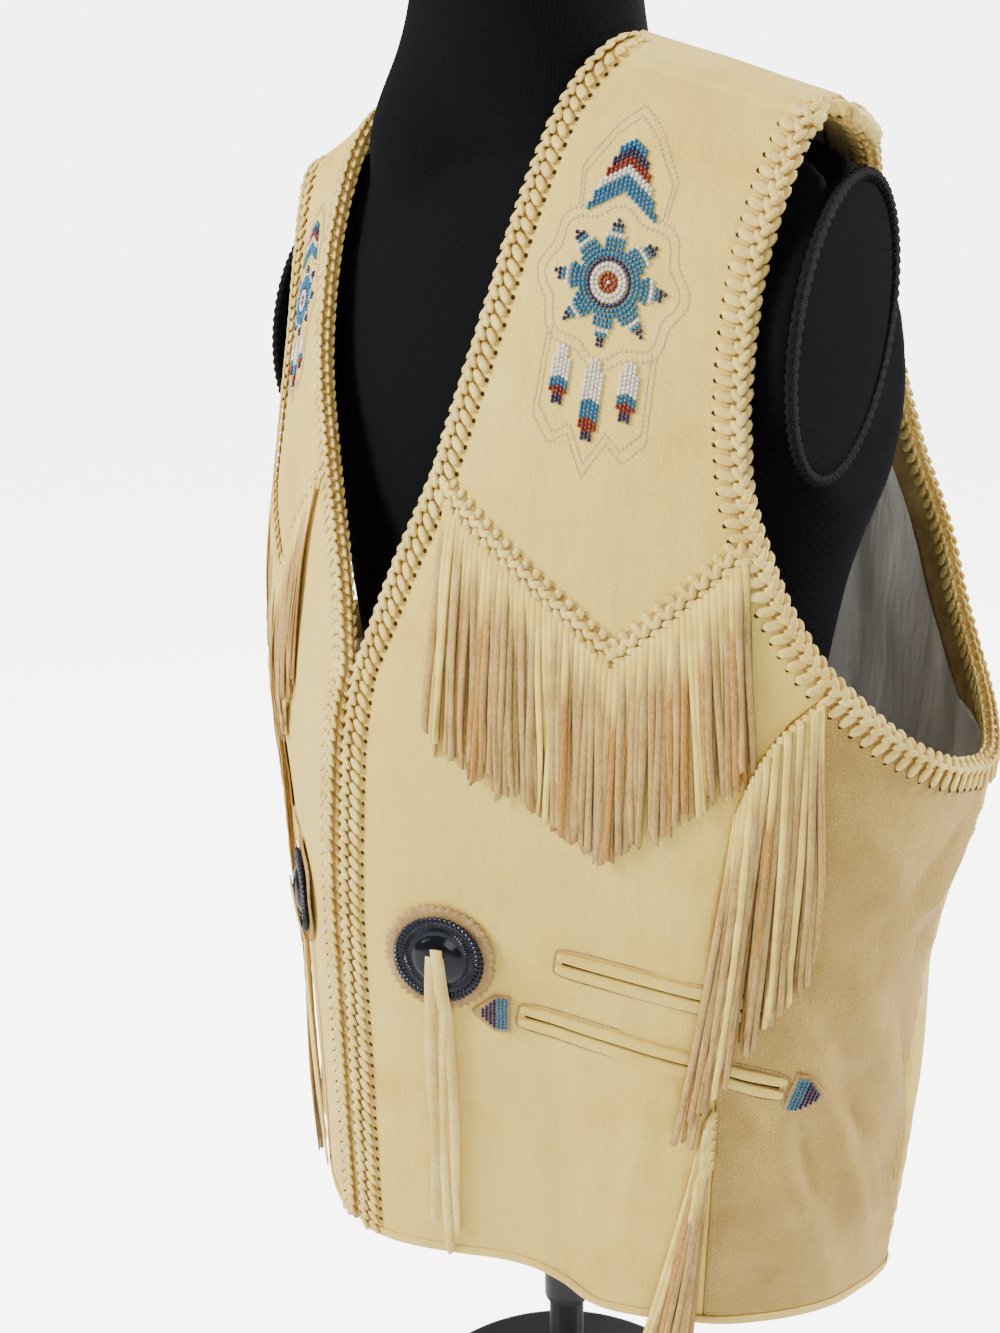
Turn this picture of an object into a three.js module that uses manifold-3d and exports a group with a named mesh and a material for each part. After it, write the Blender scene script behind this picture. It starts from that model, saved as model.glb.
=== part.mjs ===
// A fringed leather vest on a limbless dress form with a pole and a round base.
// Millimetres, +Z up. The front faces -Y and the wearer's left is +X.
// The origin is the middle of the footprint, on the floor.
// The cloth is one smooth shell. A place on it is an angle round the body, in degrees from the
// centre front towards the wearer's left, and a height above the front hem. Each panel is a patch
// between four edge curves on that shell, and what lies on a panel is made from its points, moved out.
import * as THREE from 'three';
import { mergeVertices } from 'three/addons/utils/BufferGeometryUtils.js';
import Module from 'manifold-3d';

const wasm = await Module();
wasm.setup();

// Driving sizes
const HEM_ABOVE_FLOOR = 320;
const DEPTH_SHIFT = 13.8;
const SHOULDER_RISE = 660;
const CHEST_RISE = 400;
const NECK_HALF_WIDTH = 76;
const SHOULDER_SLOPE = 0.36;
const SHOULDER_FORWARD = -42;
const LEATHER = 1.6;
const LINING = 1.0;
const FACING = 1.2;
const SEAM = 0.5;
const PART = 0.3;
const FACING_WIDTH = 27;
const FACING_LIFT = 4.5;
const LINING_GAP = 1.1;
const LINING_INSET = 2.5;
const FRONT_EDGE_ANGLE = 1.0;
const NECK_ANGLE = 18.9;
const WIDE_NECK_ANGLE = 29.2;
const TIP_ANGLE = 56;
const SIDE_SEAM_ANGLE = 100;
const BACK_CENTRE = 180;
const V_BOTTOM = 348;
const RIDGE = SHOULDER_RISE - 0.002;
const STRAND_WIDTH = 3.6;
const STRAND_THICKNESS = 1.2;
const STRIP_LIFT = 0.7;

// Body sections: the cloth's half width, its depth before and behind the side line, and how far
// the two free front edges stand out, at heights above the front hem.
const VEST_SECTIONS = [
  { height: -60, halfWidth: 226, front: 158, back: 112, proud: 36 },
  { height: 0, halfWidth: 228, front: 158, back: 116, proud: 36 },
  { height: 100, halfWidth: 234, front: 159, back: 130, proud: 36 },
  { height: 200, halfWidth: 242, front: 160, back: 150, proud: 36 },
  { height: 300, halfWidth: 259, front: 158, back: 172, proud: 32 },
  { height: 380, halfWidth: 257, front: 152, back: 170, proud: 18 },
  { height: 460, halfWidth: 246, front: 146, back: 150, proud: 4 },
  { height: 560, halfWidth: 239, front: 138, back: 126, proud: 0 },
  { height: 660, halfWidth: 237, front: 130, back: 114, proud: 0 },
];
const FORM_SECTIONS = [
  { height: -14, halfWidth: 150, front: 104, back: 88, proud: 0 },
  { height: 60, halfWidth: 148, front: 106, back: 86, proud: 0 },
  { height: 160, halfWidth: 150, front: 110, back: 88, proud: 0 },
  { height: 280, halfWidth: 160, front: 120, back: 96, proud: 0 },
  { height: 380, halfWidth: 176, front: 128, back: 102, proud: 0 },
  { height: 460, halfWidth: 204, front: 128, back: 102, proud: 0 },
  { height: 560, halfWidth: 226, front: 120, back: 98, proud: 0 },
  { height: 655, halfWidth: 222, front: 110, back: 92, proud: 0 },
];

// Soft folds of the leather: where each is centred, how far it leans from the vertical, and its
// length, width and depth. A negative depth is a trough.
const FOLDS = [
  { angle: 92, height: 240, lean: 38, length: 70, width: 16, depth: 4.5 },
  { angle: 112, height: 190, lean: 30, length: 90, width: 20, depth: -5 },
  { angle: 84, height: 150, lean: -34, length: 70, width: 15, depth: 4 },
  { angle: 104, height: 60, lean: 12, length: 120, width: 24, depth: 6 },
  { angle: 128, height: 40, lean: 6, length: 150, width: 28, depth: -6 },
  { angle: 150, height: 30, lean: -4, length: 160, width: 30, depth: 6 },
  { angle: 176, height: 20, lean: 3, length: 170, width: 28, depth: -5 },
  { angle: 204, height: 30, lean: 5, length: 150, width: 30, depth: 6 },
  { angle: 228, height: 45, lean: -8, length: 140, width: 26, depth: -6 },
  { angle: 252, height: 70, lean: -10, length: 120, width: 24, depth: 5 },
  { angle: 264, height: 236, lean: -36, length: 70, width: 18, depth: 4 },
  { angle: 146, height: 330, lean: 24, length: 110, width: 22, depth: -5 },
  { angle: 214, height: 345, lean: -26, length: 100, width: 20, depth: -5 },
  { angle: 62, height: 60, lean: 14, length: 90, width: 20, depth: 3 },
  { angle: 298, height: 70, lean: -14, length: 90, width: 20, depth: 3 },
];
const MM_PER_DEGREE = 3.7;

// Edge curves of the wearer's left half, as places on the shell
const ARMHOLE_UPPER_FRONT = [
  { angle: TIP_ANGLE, height: RIDGE },
  { angle: 53.6, height: 630 },
  { angle: 51.4, height: 589 },
  { angle: 50.4, height: 540 },
  { angle: 50.4, height: 493 },
  { angle: 51.4, height: 452 },
  { angle: 52.8, height: 430 },
];
const ARMHOLE_LOWER_FRONT = [
  { angle: 52.8, height: 430 },
  { angle: 56, height: 398 },
  { angle: 61, height: 370 },
  { angle: 64, height: 359 },
];
const ARMHOLE_SIDE = [
  { angle: 64, height: 359 },
  { angle: 73, height: 334 },
  { angle: 84, height: 315 },
  { angle: SIDE_SEAM_ANGLE, height: 302 },
];
const ARMHOLE_BACK = [
  { angle: SIDE_SEAM_ANGLE, height: 302 },
  { angle: 112, height: 305 },
  { angle: 124, height: 325 },
  { angle: 134, height: 368 },
  { angle: 140, height: 432 },
  { angle: 142, height: 510 },
  { angle: 138, height: 592 },
  { angle: 180 - TIP_ANGLE, height: RIDGE },
];
const FRONT_EDGE = [
  { angle: FRONT_EDGE_ANGLE, height: 0 },
  { angle: FRONT_EDGE_ANGLE, height: V_BOTTOM },
];
// The neckline of each front. The vest has slipped to the wearer's right, so that side stands wider.
const NECKLINE = {
  left: {
    lower: [
      { angle: FRONT_EDGE_ANGLE, height: V_BOTTOM },
      { angle: 4.3, height: 400 },
      { angle: 7.8, height: 450 },
    ],
    upper: [
      { angle: 7.8, height: 450 },
      { angle: 11.2, height: 520 },
      { angle: 14.0, height: 590 },
      { angle: 16.2, height: 636 },
      { angle: NECK_ANGLE, height: RIDGE },
    ],
    yokeInner: [
      { angle: 7.8, height: 450 },
      { angle: 33.5, height: 368 },
    ],
    shoulder: [
      { angle: NECK_ANGLE, height: RIDGE },
      { angle: TIP_ANGLE, height: RIDGE },
    ],
    backNeck: [
      { angle: BACK_CENTRE - NECK_ANGLE, height: RIDGE },
      { angle: 167, height: 640 },
      { angle: BACK_CENTRE, height: 631 },
    ],
    yokeStrands: 22,
  },
  right: {
    lower: [
      { angle: FRONT_EDGE_ANGLE, height: V_BOTTOM },
      { angle: 5.8, height: 398 },
      { angle: 14.5, height: 450 },
    ],
    upper: [
      { angle: 14.5, height: 450 },
      { angle: 23.0, height: 510 },
      { angle: 27.2, height: 570 },
      { angle: 28.6, height: 622 },
      { angle: WIDE_NECK_ANGLE, height: RIDGE },
    ],
    yokeInner: [
      { angle: 14.5, height: 450 },
      { angle: 33.5, height: 368 },
    ],
    shoulder: [
      { angle: WIDE_NECK_ANGLE, height: RIDGE },
      { angle: TIP_ANGLE, height: RIDGE },
    ],
    backNeck: [
      { angle: BACK_CENTRE - WIDE_NECK_ANGLE, height: RIDGE },
      { angle: 162, height: 643 },
      { angle: BACK_CENTRE, height: 631 },
    ],
    yokeStrands: 17,
  },
};
const YOKE_LINE_OUTER = [
  { angle: 33.5, height: 368 },
  { angle: 52.8, height: 430 },
];
const FRINGED_SEAM = [
  { angle: 54, height: -25 },
  { angle: 53.5, height: 115 },
  { angle: 50.5, height: 230 },
  { angle: 51.5, height: 300 },
  { angle: 57, height: 338 },
  { angle: 64, height: 359 },
];
const SIDE_SEAM = [
  { angle: SIDE_SEAM_ANGLE, height: -25 },
  { angle: SIDE_SEAM_ANGLE, height: 302 },
];
const HEM_FRONT = [
  { angle: FRONT_EDGE_ANGLE, height: 0 },
  { angle: 24, height: -1 },
  { angle: 30, height: -9 },
  { angle: 35, height: -21 },
  { angle: 42, height: -25 },
  { angle: 54, height: -25 },
];
const HEM_SIDE = [
  { angle: 54, height: -25 },
  { angle: SIDE_SEAM_ANGLE, height: -25 },
];

const COLOURS = {
  leather: 0xddcfa2,
  side: 0xcfbb90,
  suede: 0xb8a27e,
  facing: 0xa89168,
  satin: 0xaaa496,
  lace: 0xe2d6ac,
  tab: 0xa8845a,
  concho: 0x2c2f3a,
  jersey: 0x15161a,
  stand: 0xe9e7e2,
};

// ---- Numbers and curves ----

const mix = (a, b, share) => a + (b - a) * share;
const radians = THREE.MathUtils.degToRad;
const clamp = THREE.MathUtils.clamp;

// A smooth value between the rows of a table, by cubic pieces with limited slopes
function smoothColumn(rows, key, column) {
  const slopes = rows.map((row, i) => {
    if (i === 0 || i === rows.length - 1) return 0;
    const before = (row[column] - rows[i - 1][column]) / (row[key] - rows[i - 1][key]);
    const after = (rows[i + 1][column] - row[column]) / (rows[i + 1][key] - row[key]);
    return before * after > 0 ? (2 * before * after) / (before + after) : 0;
  });
  return (at) => {
    const place = clamp(at, rows[0][key], rows[rows.length - 1][key]);
    let i = rows.findIndex((row) => row[key] > place) - 1;
    if (i < 0) i = rows.length - 2;
    const span = rows[i + 1][key] - rows[i][key];
    const t = (place - rows[i][key]) / span;
    const fromStart = 2 * t ** 3 - 3 * t ** 2 + 1;
    const toEnd = 3 * t ** 2 - 2 * t ** 3;
    const leaving = span * slopes[i] * (t ** 3 - 2 * t ** 2 + t);
    const arriving = span * slopes[i + 1] * (t ** 3 - t ** 2);
    return fromStart * rows[i][column] + toEnd * rows[i + 1][column] + leaving + arriving;
  };
}

// A body shell over a table of sections, which closes along a shoulder ridge
function bodyShell(rows, ridge, flatSideAt) {
  const halfWidth = smoothColumn(rows, 'height', 'halfWidth');
  const front = smoothColumn(rows, 'height', 'front');
  const back = smoothColumn(rows, 'height', 'back');
  const proud = smoothColumn(rows, 'height', 'proud');
  return (angle, height) => {
    const turn = radians(angle);
    const sine = Math.sin(turn);
    const cosine = Math.cos(turn);
    const up = clamp((height - CHEST_RISE) / (ridge - CHEST_RISE), 0, 1);
    const ahead = cosine > 0;
    const fullness = 1 + (ahead ? -0.035 : 0.03) * Math.sin(2 * turn) ** 2;
    const depth = ahead
      ? front(height) * (1 - up ** 1.7) ** 0.6
      : back(height) * (1 - up ** 3) ** 0.5;
    const fromFront = Math.abs(((angle + 180) % 360 + 360) % 360 - 180);
    const stand = proud(height) * Math.exp(-((fromFront / 20) ** 2));
    const reach = halfWidth(height) * sine * fullness;
    const side = Math.abs(reach);
    const trimmed = side > flatSideAt ? flatSideAt + (side - flatSideAt) * 0.08 : side;
    const settle = up * up * (3 - 2 * up);
    const pastNeck = Math.max(side - NECK_HALF_WIDTH, 0);
    const pastTip = Math.max(side - 192, 0);
    const drop = SHOULDER_SLOPE * pastNeck + (flatSideAt < 300 ? 0.05 * pastTip ** 2 : 0);
    return new THREE.Vector3(
      Math.sign(reach) * trimmed,
      -depth * cosine * fullness - stand + SHOULDER_FORWARD * up * up + DEPTH_SHIFT,
      HEM_ABOVE_FLOOR + height - drop * settle,
    );
  };
}

const vestShell = bodyShell(VEST_SECTIONS, SHOULDER_RISE, 999);

function foldRelief(angle, height) {
  let relief = 0;
  for (const fold of FOLDS) {
    const turn = (((angle - fold.angle + 180) % 360) + 360) % 360 - 180;
    const lean = radians(fold.lean);
    const sideways = turn * MM_PER_DEGREE;
    const upwards = height - fold.height;
    const across = sideways * Math.cos(lean) - upwards * Math.sin(lean);
    const along = sideways * Math.sin(lean) + upwards * Math.cos(lean);
    relief += fold.depth * Math.exp(-((across / fold.width) ** 2) - (along / fold.length) ** 2);
  }
  return relief;
}

// The directions along the shell at a place, round and up, and the way out of it
function shellFrame(angle, height) {
  const step = 0.5;
  const high = Math.min(height + step, RIDGE);
  const round = vestShell(angle + step, height).sub(vestShell(angle - step, height));
  const up = vestShell(angle, high).sub(vestShell(angle, high - 2 * step));
  const out = round.clone().cross(up).normalize();
  return { round: round.divideScalar(2 * step), up: up.divideScalar(2 * step), out };
}

function onVest({ angle, height }, out = 0) {
  const frame = shellFrame(angle, height);
  return vestShell(angle, height).addScaledVector(frame.out, out + foldRelief(angle, height));
}

// The place reached from another by a move in millimetres along the shell
function movedPlace(place, move) {
  const goal = vestShell(place.angle, place.height).add(move);
  let { angle, height } = place;
  for (let pass = 0; pass < 5; pass += 1) {
    const left = goal.clone().sub(vestShell(angle, height));
    const { round, up } = shellFrame(angle, height);
    const rr = round.dot(round);
    const ru = round.dot(up);
    const uu = up.dot(up);
    const lr = left.dot(round);
    const lu = left.dot(up);
    const det = rr * uu - ru * ru;
    angle += (lr * uu - lu * ru) / det;
    height = Math.min(height + (lu * rr - lr * ru) / det, RIDGE);
  }
  return { angle, height };
}

// Even steps, in millimetres along the shell, of a curve through a table's places
function edgePoints(rows, steps) {
  const points = rows.map((row) => new THREE.Vector3(row.angle * MM_PER_DEGREE, row.height, 0));
  const curve = rows.length > 2 ? new THREE.CatmullRomCurve3(points, false, 'centripetal') : null;
  const fine = [];
  const fineSteps = 240;
  for (let i = 0; i <= fineSteps; i += 1) {
    const t = i / fineSteps;
    const at = curve ? curve.getPoint(t) : points[0].clone().lerp(points[1], t);
    fine.push({ angle: at.x / MM_PER_DEGREE, height: Math.min(at.y, RIDGE) });
  }
  const spots = fine.map((place) => vestShell(place.angle, place.height));
  const lengths = [0];
  for (let i = 1; i <= fineSteps; i += 1) {
    lengths.push(lengths[i - 1] + spots[i].distanceTo(spots[i - 1]));
  }
  const total = lengths[fineSteps];
  const list = [];
  for (let k = 0; k <= steps; k += 1) {
    const goal = Math.min((total * k) / steps, total);
    const i = Math.max(lengths.findIndex((length) => length >= goal), 1);
    const share = (goal - lengths[i - 1]) / (lengths[i] - lengths[i - 1]);
    list.push({
      angle: mix(fine[i - 1].angle, fine[i].angle, share),
      height: mix(fine[i - 1].height, fine[i].height, share),
    });
  }
  return list;
}

const joined = (...lists) => lists.flatMap((list, i) => (i === 0 ? list : list.slice(1)));
const reversed = (list) => [...list].reverse();
const mirrored = (list) => list.map(({ angle, height }) => ({ angle: 360 - angle, height }));

// ---- Solids ----

// One closed body from points and faces, turned to face out
function solid(points, faces) {
  const positions = points.flatMap((point) => [point.x, point.y, point.z]);
  const geometry = new THREE.BufferGeometry();
  geometry.setAttribute('position', new THREE.Float32BufferAttribute(positions, 3));
  const indices = [];
  for (const face of faces) {
    for (let i = 2; i < face.length; i += 1) indices.push(face[0], face[i - 1], face[i]);
  }
  let volume = 0;
  const side = new THREE.Vector3();
  for (let i = 0; i < indices.length; i += 3) {
    side.crossVectors(points[indices[i + 1]], points[indices[i + 2]]);
    volume += points[indices[i]].dot(side);
  }
  if (volume < 0) {
    for (let i = 0; i < indices.length; i += 3) {
      [indices[i + 1], indices[i + 2]] = [indices[i + 2], indices[i + 1]];
    }
  }
  geometry.setIndex(indices);
  return geometry;
}

// A wall between an inner and an outer layer of the same grid of places
function wall(grid, inner, outer) {
  const rows = grid.length;
  const columns = grid[0].length;
  const points = [];
  for (const out of [inner, outer]) {
    for (const row of grid) for (const place of row) points.push(onVest(place, out));
  }
  const at = (layer, j, i) => layer * rows * columns + j * columns + i;
  const faces = [];
  for (let j = 0; j + 1 < rows; j += 1) {
    for (let i = 0; i + 1 < columns; i += 1) {
      faces.push([at(1, j, i), at(1, j, i + 1), at(1, j + 1, i + 1), at(1, j + 1, i)]);
      faces.push([at(0, j, i), at(0, j + 1, i), at(0, j + 1, i + 1), at(0, j, i + 1)]);
    }
  }
  for (let i = 0; i + 1 < columns; i += 1) {
    faces.push([at(0, 0, i), at(0, 0, i + 1), at(1, 0, i + 1), at(1, 0, i)]);
    faces.push([at(0, rows - 1, i), at(1, rows - 1, i), at(1, rows - 1, i + 1), at(0, rows - 1, i + 1)]);
  }
  for (let j = 0; j + 1 < rows; j += 1) {
    faces.push([at(0, j, 0), at(1, j, 0), at(1, j + 1, 0), at(0, j + 1, 0)]);
    const last = columns - 1;
    faces.push([at(0, j, last), at(0, j + 1, last), at(1, j + 1, last), at(1, j, last)]);
  }
  return solid(points, faces);
}

// Moves the border of a grid inwards, so that neighbours are parted at their seam
function parted(grid, distance) {
  const between = (place, towards, share) => ({
    angle: mix(place.angle, towards.angle, share),
    height: mix(place.height, towards.height, share),
  });
  const pull = (place, towards) => {
    const start = onVest(place);
    let near = 0;
    let far = 0.4;
    for (let pass = 0; pass < 16; pass += 1) {
      const middle = (near + far) / 2;
      const isShort = start.distanceTo(onVest(between(place, towards, middle))) < distance;
      if (isShort) near = middle;
      else far = middle;
    }
    return between(place, towards, near);
  };
  const last = grid[0].length - 1;
  const sides = grid.map((row) => row.map((place, i) => {
    if (i === 0) return pull(place, row[1]);
    if (i === last) return pull(place, row[last - 1]);
    return place;
  }));
  return sides.map((row, j) => row.map((place, i) => {
    if (j === 0) return pull(place, sides[1][i]);
    if (j === sides.length - 1) return pull(place, sides[j - 1][i]);
    return place;
  }));
}

// A grid of places that fills the patch between four edges with matching corners
function patch(bottom, top, left, right) {
  const across = bottom.length - 1;
  const rise = left.length - 1;
  const blend = (key, u, v, i, j) => {
    const ruled = (1 - v) * bottom[i][key] + v * top[i][key] + (1 - u) * left[j][key] + u * right[j][key];
    const low = (1 - u) * bottom[0][key] + u * bottom[across][key];
    const high = (1 - u) * top[0][key] + u * top[across][key];
    return ruled - (1 - v) * low - v * high;
  };
  const grid = [];
  for (let j = 0; j <= rise; j += 1) {
    const row = [];
    for (let i = 0; i <= across; i += 1) {
      const u = i / across;
      const v = j / rise;
      row.push({ angle: blend('angle', u, v, i, j), height: blend('height', u, v, i, j) });
    }
    grid.push(row);
  }
  return grid;
}

// The inward direction in the cloth, square to an edge, at each point of the edge
function edgeFrames(list, inwardSign, closed = false) {
  const spots = list.map((place) => vestShell(place.angle, place.height));
  const count = list.length;
  return list.map((place, i) => {
    const before = closed ? spots[(i + count - 1) % count] : spots[Math.max(i - 1, 0)];
    const after = closed ? spots[(i + 1) % count] : spots[Math.min(i + 1, count - 1)];
    const along = after.clone().sub(before).normalize();
    const out = shellFrame(place.angle, place.height).out;
    const inward = out.clone().cross(along).normalize().multiplyScalar(inwardSign);
    return { along, out, inward };
  });
}

// A band that follows an edge: its section is a list of distances in from the edge and out of the cloth
function edgeBand(list, section, inwardSign, closed = false) {
  const frames = edgeFrames(list, inwardSign, closed);
  const points = [];
  list.forEach((place, i) => {
    for (const { inward, out } of section) {
      const spot = movedPlace(place, frames[i].inward.clone().multiplyScalar(inward));
      const past = vestShell(spot.angle, spot.height).sub(vestShell(place.angle, place.height));
      const missing = inward - past.dot(frames[i].inward);
      const correction = Math.abs(missing) > 0.5 ? missing : 0;
      points.push(onVest(spot, out).addScaledVector(frames[i].inward, correction));
    }
  });
  return tube(points, section.length, list.length, closed);
}

// A tube through sections of equal point counts, open ended with caps or closed into a ring
function tube(points, sides, sections, closed = false) {
  const faces = [];
  const spans = closed ? sections : sections - 1;
  for (let j = 0; j < spans; j += 1) {
    const next = (j + 1) % sections;
    for (let k = 0; k < sides; k += 1) {
      const l = (k + 1) % sides;
      faces.push([j * sides + k, j * sides + l, next * sides + l, next * sides + k]);
    }
  }
  if (!closed) {
    const first = [...Array(sides).keys()];
    faces.push(reversed(first));
    faces.push(first.map((k) => (sections - 1) * sides + k));
  }
  return solid(points, faces);
}

// A repeatable value between -1 and 1 for a strand
const uneven = (seed) => {
  const wave = Math.sin(seed * 12.9898 + 4.1) * 43758.5453;
  return (wave - Math.floor(wave)) * 2 - 1;
};

// A fringe: a narrow strip with strands that hang from it. The strip leads away from its edge in
// one direction, given round and up. Each strand goes through steps sideways, down and off the cloth.
function fringe(list, lead, rootDepth, stripHeight, acrossSign, strandAt, width = STRAND_WIDTH) {
  const low = LEATHER + STRIP_LIFT;
  const points = [];
  const faces = [];
  const strands = list.length / 2;
  const shifted = (place, round, up) => {
    const frame = shellFrame(place.angle, place.height);
    const move = frame.round.clone().normalize().multiplyScalar(round);
    return movedPlace(place, move.addScaledVector(frame.up.clone().normalize(), up));
  };
  for (const place of list) {
    const top = shifted(place, lead.round * rootDepth, lead.up * rootDepth);
    const reach = rootDepth + stripHeight;
    const bottom = shifted(place, lead.round * reach, lead.up * reach);
    points.push(onVest(top, low), onVest(top, low + STRAND_THICKNESS));
    points.push(onVest(bottom, low + STRAND_THICKNESS), onVest(bottom, low));
  }
  const corner = (i, k) => i * 4 + k;
  for (let i = 0; i + 1 < list.length; i += 1) {
    for (let k = 0; k < 4; k += 1) {
      const isRoot = i % 2 === 0 && k === 2;
      const l = (k + 1) % 4;
      if (!isRoot) faces.push([corner(i, k), corner(i, l), corner(i + 1, l), corner(i + 1, k)]);
    }
  }
  faces.push([3, 2, 1, 0]);
  faces.push([0, 1, 2, 3].map((k) => corner(list.length - 1, k)));
  for (let s = 0; s < strands; s += 1) {
    const i = s * 2;
    let ring = [corner(i, 2), corner(i, 3), corner(i + 1, 3), corner(i + 1, 2)];
    const root = {
      angle: (list[i].angle + list[i + 1].angle) / 2,
      height: (list[i].height + list[i + 1].height) / 2,
    };
    for (const step of strandAt(s, strands)) {
      const made = [];
      for (const [end, out] of [[-1, 1], [-1, 0], [1, 0], [1, 1]]) {
        const side = step.side + (acrossSign * end * width) / 2;
        const place = shifted(root, side, -step.down);
        points.push(onVest(place, low + step.off + out * STRAND_THICKNESS));
        made.push(points.length - 1);
      }
      for (let k = 0; k < 4; k += 1) {
        const l = (k + 1) % 4;
        faces.push([ring[k], ring[l], made[l], made[k]]);
      }
      ring = made;
    }
    faces.push(ring);
  }
  return solid(points, faces);
}

// A curve that can be asked for the place a number of millimetres along it
function measured(rows) {
  const steps = 400;
  const fine = edgePoints(rows, steps);
  const length = fine.slice(1).reduce((sum, place, i) => (
    sum + vestShell(place.angle, place.height).distanceTo(vestShell(fine[i].angle, fine[i].height))
  ), 0);
  const placeAt = (distance) => {
    const at = (distance / length) * steps;
    const i = Math.min(Math.floor(at), steps - 1);
    return {
      angle: mix(fine[i].angle, fine[i + 1].angle, at - i),
      height: mix(fine[i].height, fine[i + 1].height, at - i),
    };
  };
  return { length, placeAt };
}

// Even places along a curve that is cut short at its two ends
function evenPlaces(rows, steps, startCut, endCut) {
  const { length, placeAt } = measured(rows);
  const list = [];
  for (let k = 0; k <= steps; k += 1) {
    list.push(placeAt(mix(startCut, length - endCut, k / steps)));
  }
  return list;
}

// Places for strand roots along an edge: the left and right side of each strand in turn
function strandRoots(rows, strands, width) {
  const { length, placeAt } = measured(rows);
  const pitch = (length - width) / (strands - 1);
  const list = [];
  for (let s = 0; s < strands; s += 1) list.push(placeAt(s * pitch), placeAt(s * pitch + width));
  return list;
}

// A plate that lies on the cloth, from an outline in millimetres round a place
function plateOnCloth(centre, outline, tilt, low, high) {
  const { round, up } = shellFrame(centre.angle, centre.height);
  const level = round.clone().normalize();
  const rise = up.clone().normalize();
  const turn = radians(tilt);
  const places = [{ x: 0, y: 0 }, ...outline].map(({ x, y }) => {
    const move = level.clone().multiplyScalar(x * Math.cos(turn) - y * Math.sin(turn));
    move.addScaledVector(rise, x * Math.sin(turn) + y * Math.cos(turn));
    return movedPlace(centre, move);
  });
  const count = places.length;
  const points = [low, high].flatMap((out) => places.map((place) => onVest(place, out)));
  const faces = [];
  for (let k = 1; k < count; k += 1) {
    const l = k + 1 < count ? k + 1 : 1;
    faces.push([0, l, k], [count, count + k, count + l], [k, l, count + l, count + k]);
  }
  return solid(points, faces);
}

// ---- The object ----

const vest = new THREE.Group();

function add(name, geometry, colour, roughness = 0.85, metalness = 0) {
  const material = new THREE.MeshStandardMaterial({ color: colour, roughness, metalness });
  const mesh = new THREE.Mesh(geometry, material);
  mesh.name = name;
  vest.add(mesh);
  return mesh;
}

const STEPS = { shoulder: 6, yokeRise: 9, yokeInner: 4, yokeOuter: 2, frontLower: 11, frontUpper: 2,
  seam: 10, armholeLower: 3, side: 6, backArm: 12, backNeck: 4 };

function edgesOf(isLeft) {
  const flip = isLeft ? (list) => list : mirrored;
  const neckline = isLeft ? NECKLINE.left : NECKLINE.right;
  const cut = (rows, steps) => flip(edgePoints(rows, steps));
  return {
    frontEdge: cut(FRONT_EDGE, STEPS.frontLower),
    vLower: cut(neckline.lower, STEPS.frontUpper),
    vUpper: cut(neckline.upper, STEPS.yokeRise),
    yokeInner: cut(neckline.yokeInner, STEPS.yokeInner),
    yokeOuter: cut(YOKE_LINE_OUTER, STEPS.yokeOuter),
    armUpper: cut(ARMHOLE_UPPER_FRONT, STEPS.yokeRise),
    armLower: cut(ARMHOLE_LOWER_FRONT, STEPS.armholeLower),
    armSide: cut(ARMHOLE_SIDE, STEPS.side),
    armBack: cut(ARMHOLE_BACK, STEPS.backArm),
    seam: cut(FRINGED_SEAM, STEPS.seam),
    sideSeam: cut(SIDE_SEAM, STEPS.seam),
    hemFront: cut(HEM_FRONT, STEPS.yokeInner + STEPS.yokeOuter),
    hemSide: cut(HEM_SIDE, STEPS.side),
    shoulder: cut(neckline.shoulder, STEPS.shoulder),
    backNeck: cut(neckline.backNeck, STEPS.backNeck),
  };
}

const SIDES = [
  { name: 'left', isLeft: true, inward: 1, flip: (list) => list, seed: 1 },
  { name: 'right', isLeft: false, inward: -1, flip: mirrored, seed: 57 },
];

function addFrontPanels({ name, isLeft }) {
  const edge = edgesOf(isLeft);
  const yokeLine = joined(edge.yokeInner, edge.yokeOuter);
  const yoke = patch(yokeLine, edge.shoulder, edge.vUpper, reversed(edge.armUpper));
  add(`yoke_${name}`, wall(parted(yoke, SEAM / 2), 0, LEATHER), COLOURS.leather);
  const inner = joined(edge.frontEdge, edge.vLower);
  const outer = joined(edge.seam, reversed(edge.armLower));
  const front = patch(edge.hemFront, yokeLine, inner, outer);
  add(`front_${name}`, wall(parted(front, SEAM / 2), 0, LEATHER), COLOURS.leather);
  const sideFront = patch(edge.hemSide, edge.armSide, edge.seam, edge.sideSeam);
  add(`side_front_${name}`, wall(parted(sideFront, SEAM / 2), 0, LEATHER), COLOURS.side);
}

function backGrid(left, right, bottomInset) {
  const leftSide = joined(left.sideSeam, left.armBack);
  const rightSide = joined(right.sideSeam, right.armBack);
  const top = joined(
    reversed(mirroredFrontToBack(left.shoulder)),
    left.backNeck,
    reversed(right.backNeck),
    mirroredFrontToBack(right.shoulder),
  );
  const steps = top.length - 1;
  const hem = [];
  for (let i = 0; i <= steps; i += 1) {
    hem.push({ angle: mix(SIDE_SEAM_ANGLE, 360 - SIDE_SEAM_ANGLE, i / steps), height: -25 });
  }
  const grid = patch(hem, top, leftSide, rightSide);
  grid[0] = grid[0].map(({ angle, height }) => ({ angle, height: height + bottomInset }));
  return grid;
}

// The back of the shoulder seam: the same line, seen from behind
function mirroredFrontToBack(list) {
  return list.map(({ angle, height }) => ({ angle: angle < 180 ? 180 - angle : 540 - angle, height }));
}

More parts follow.
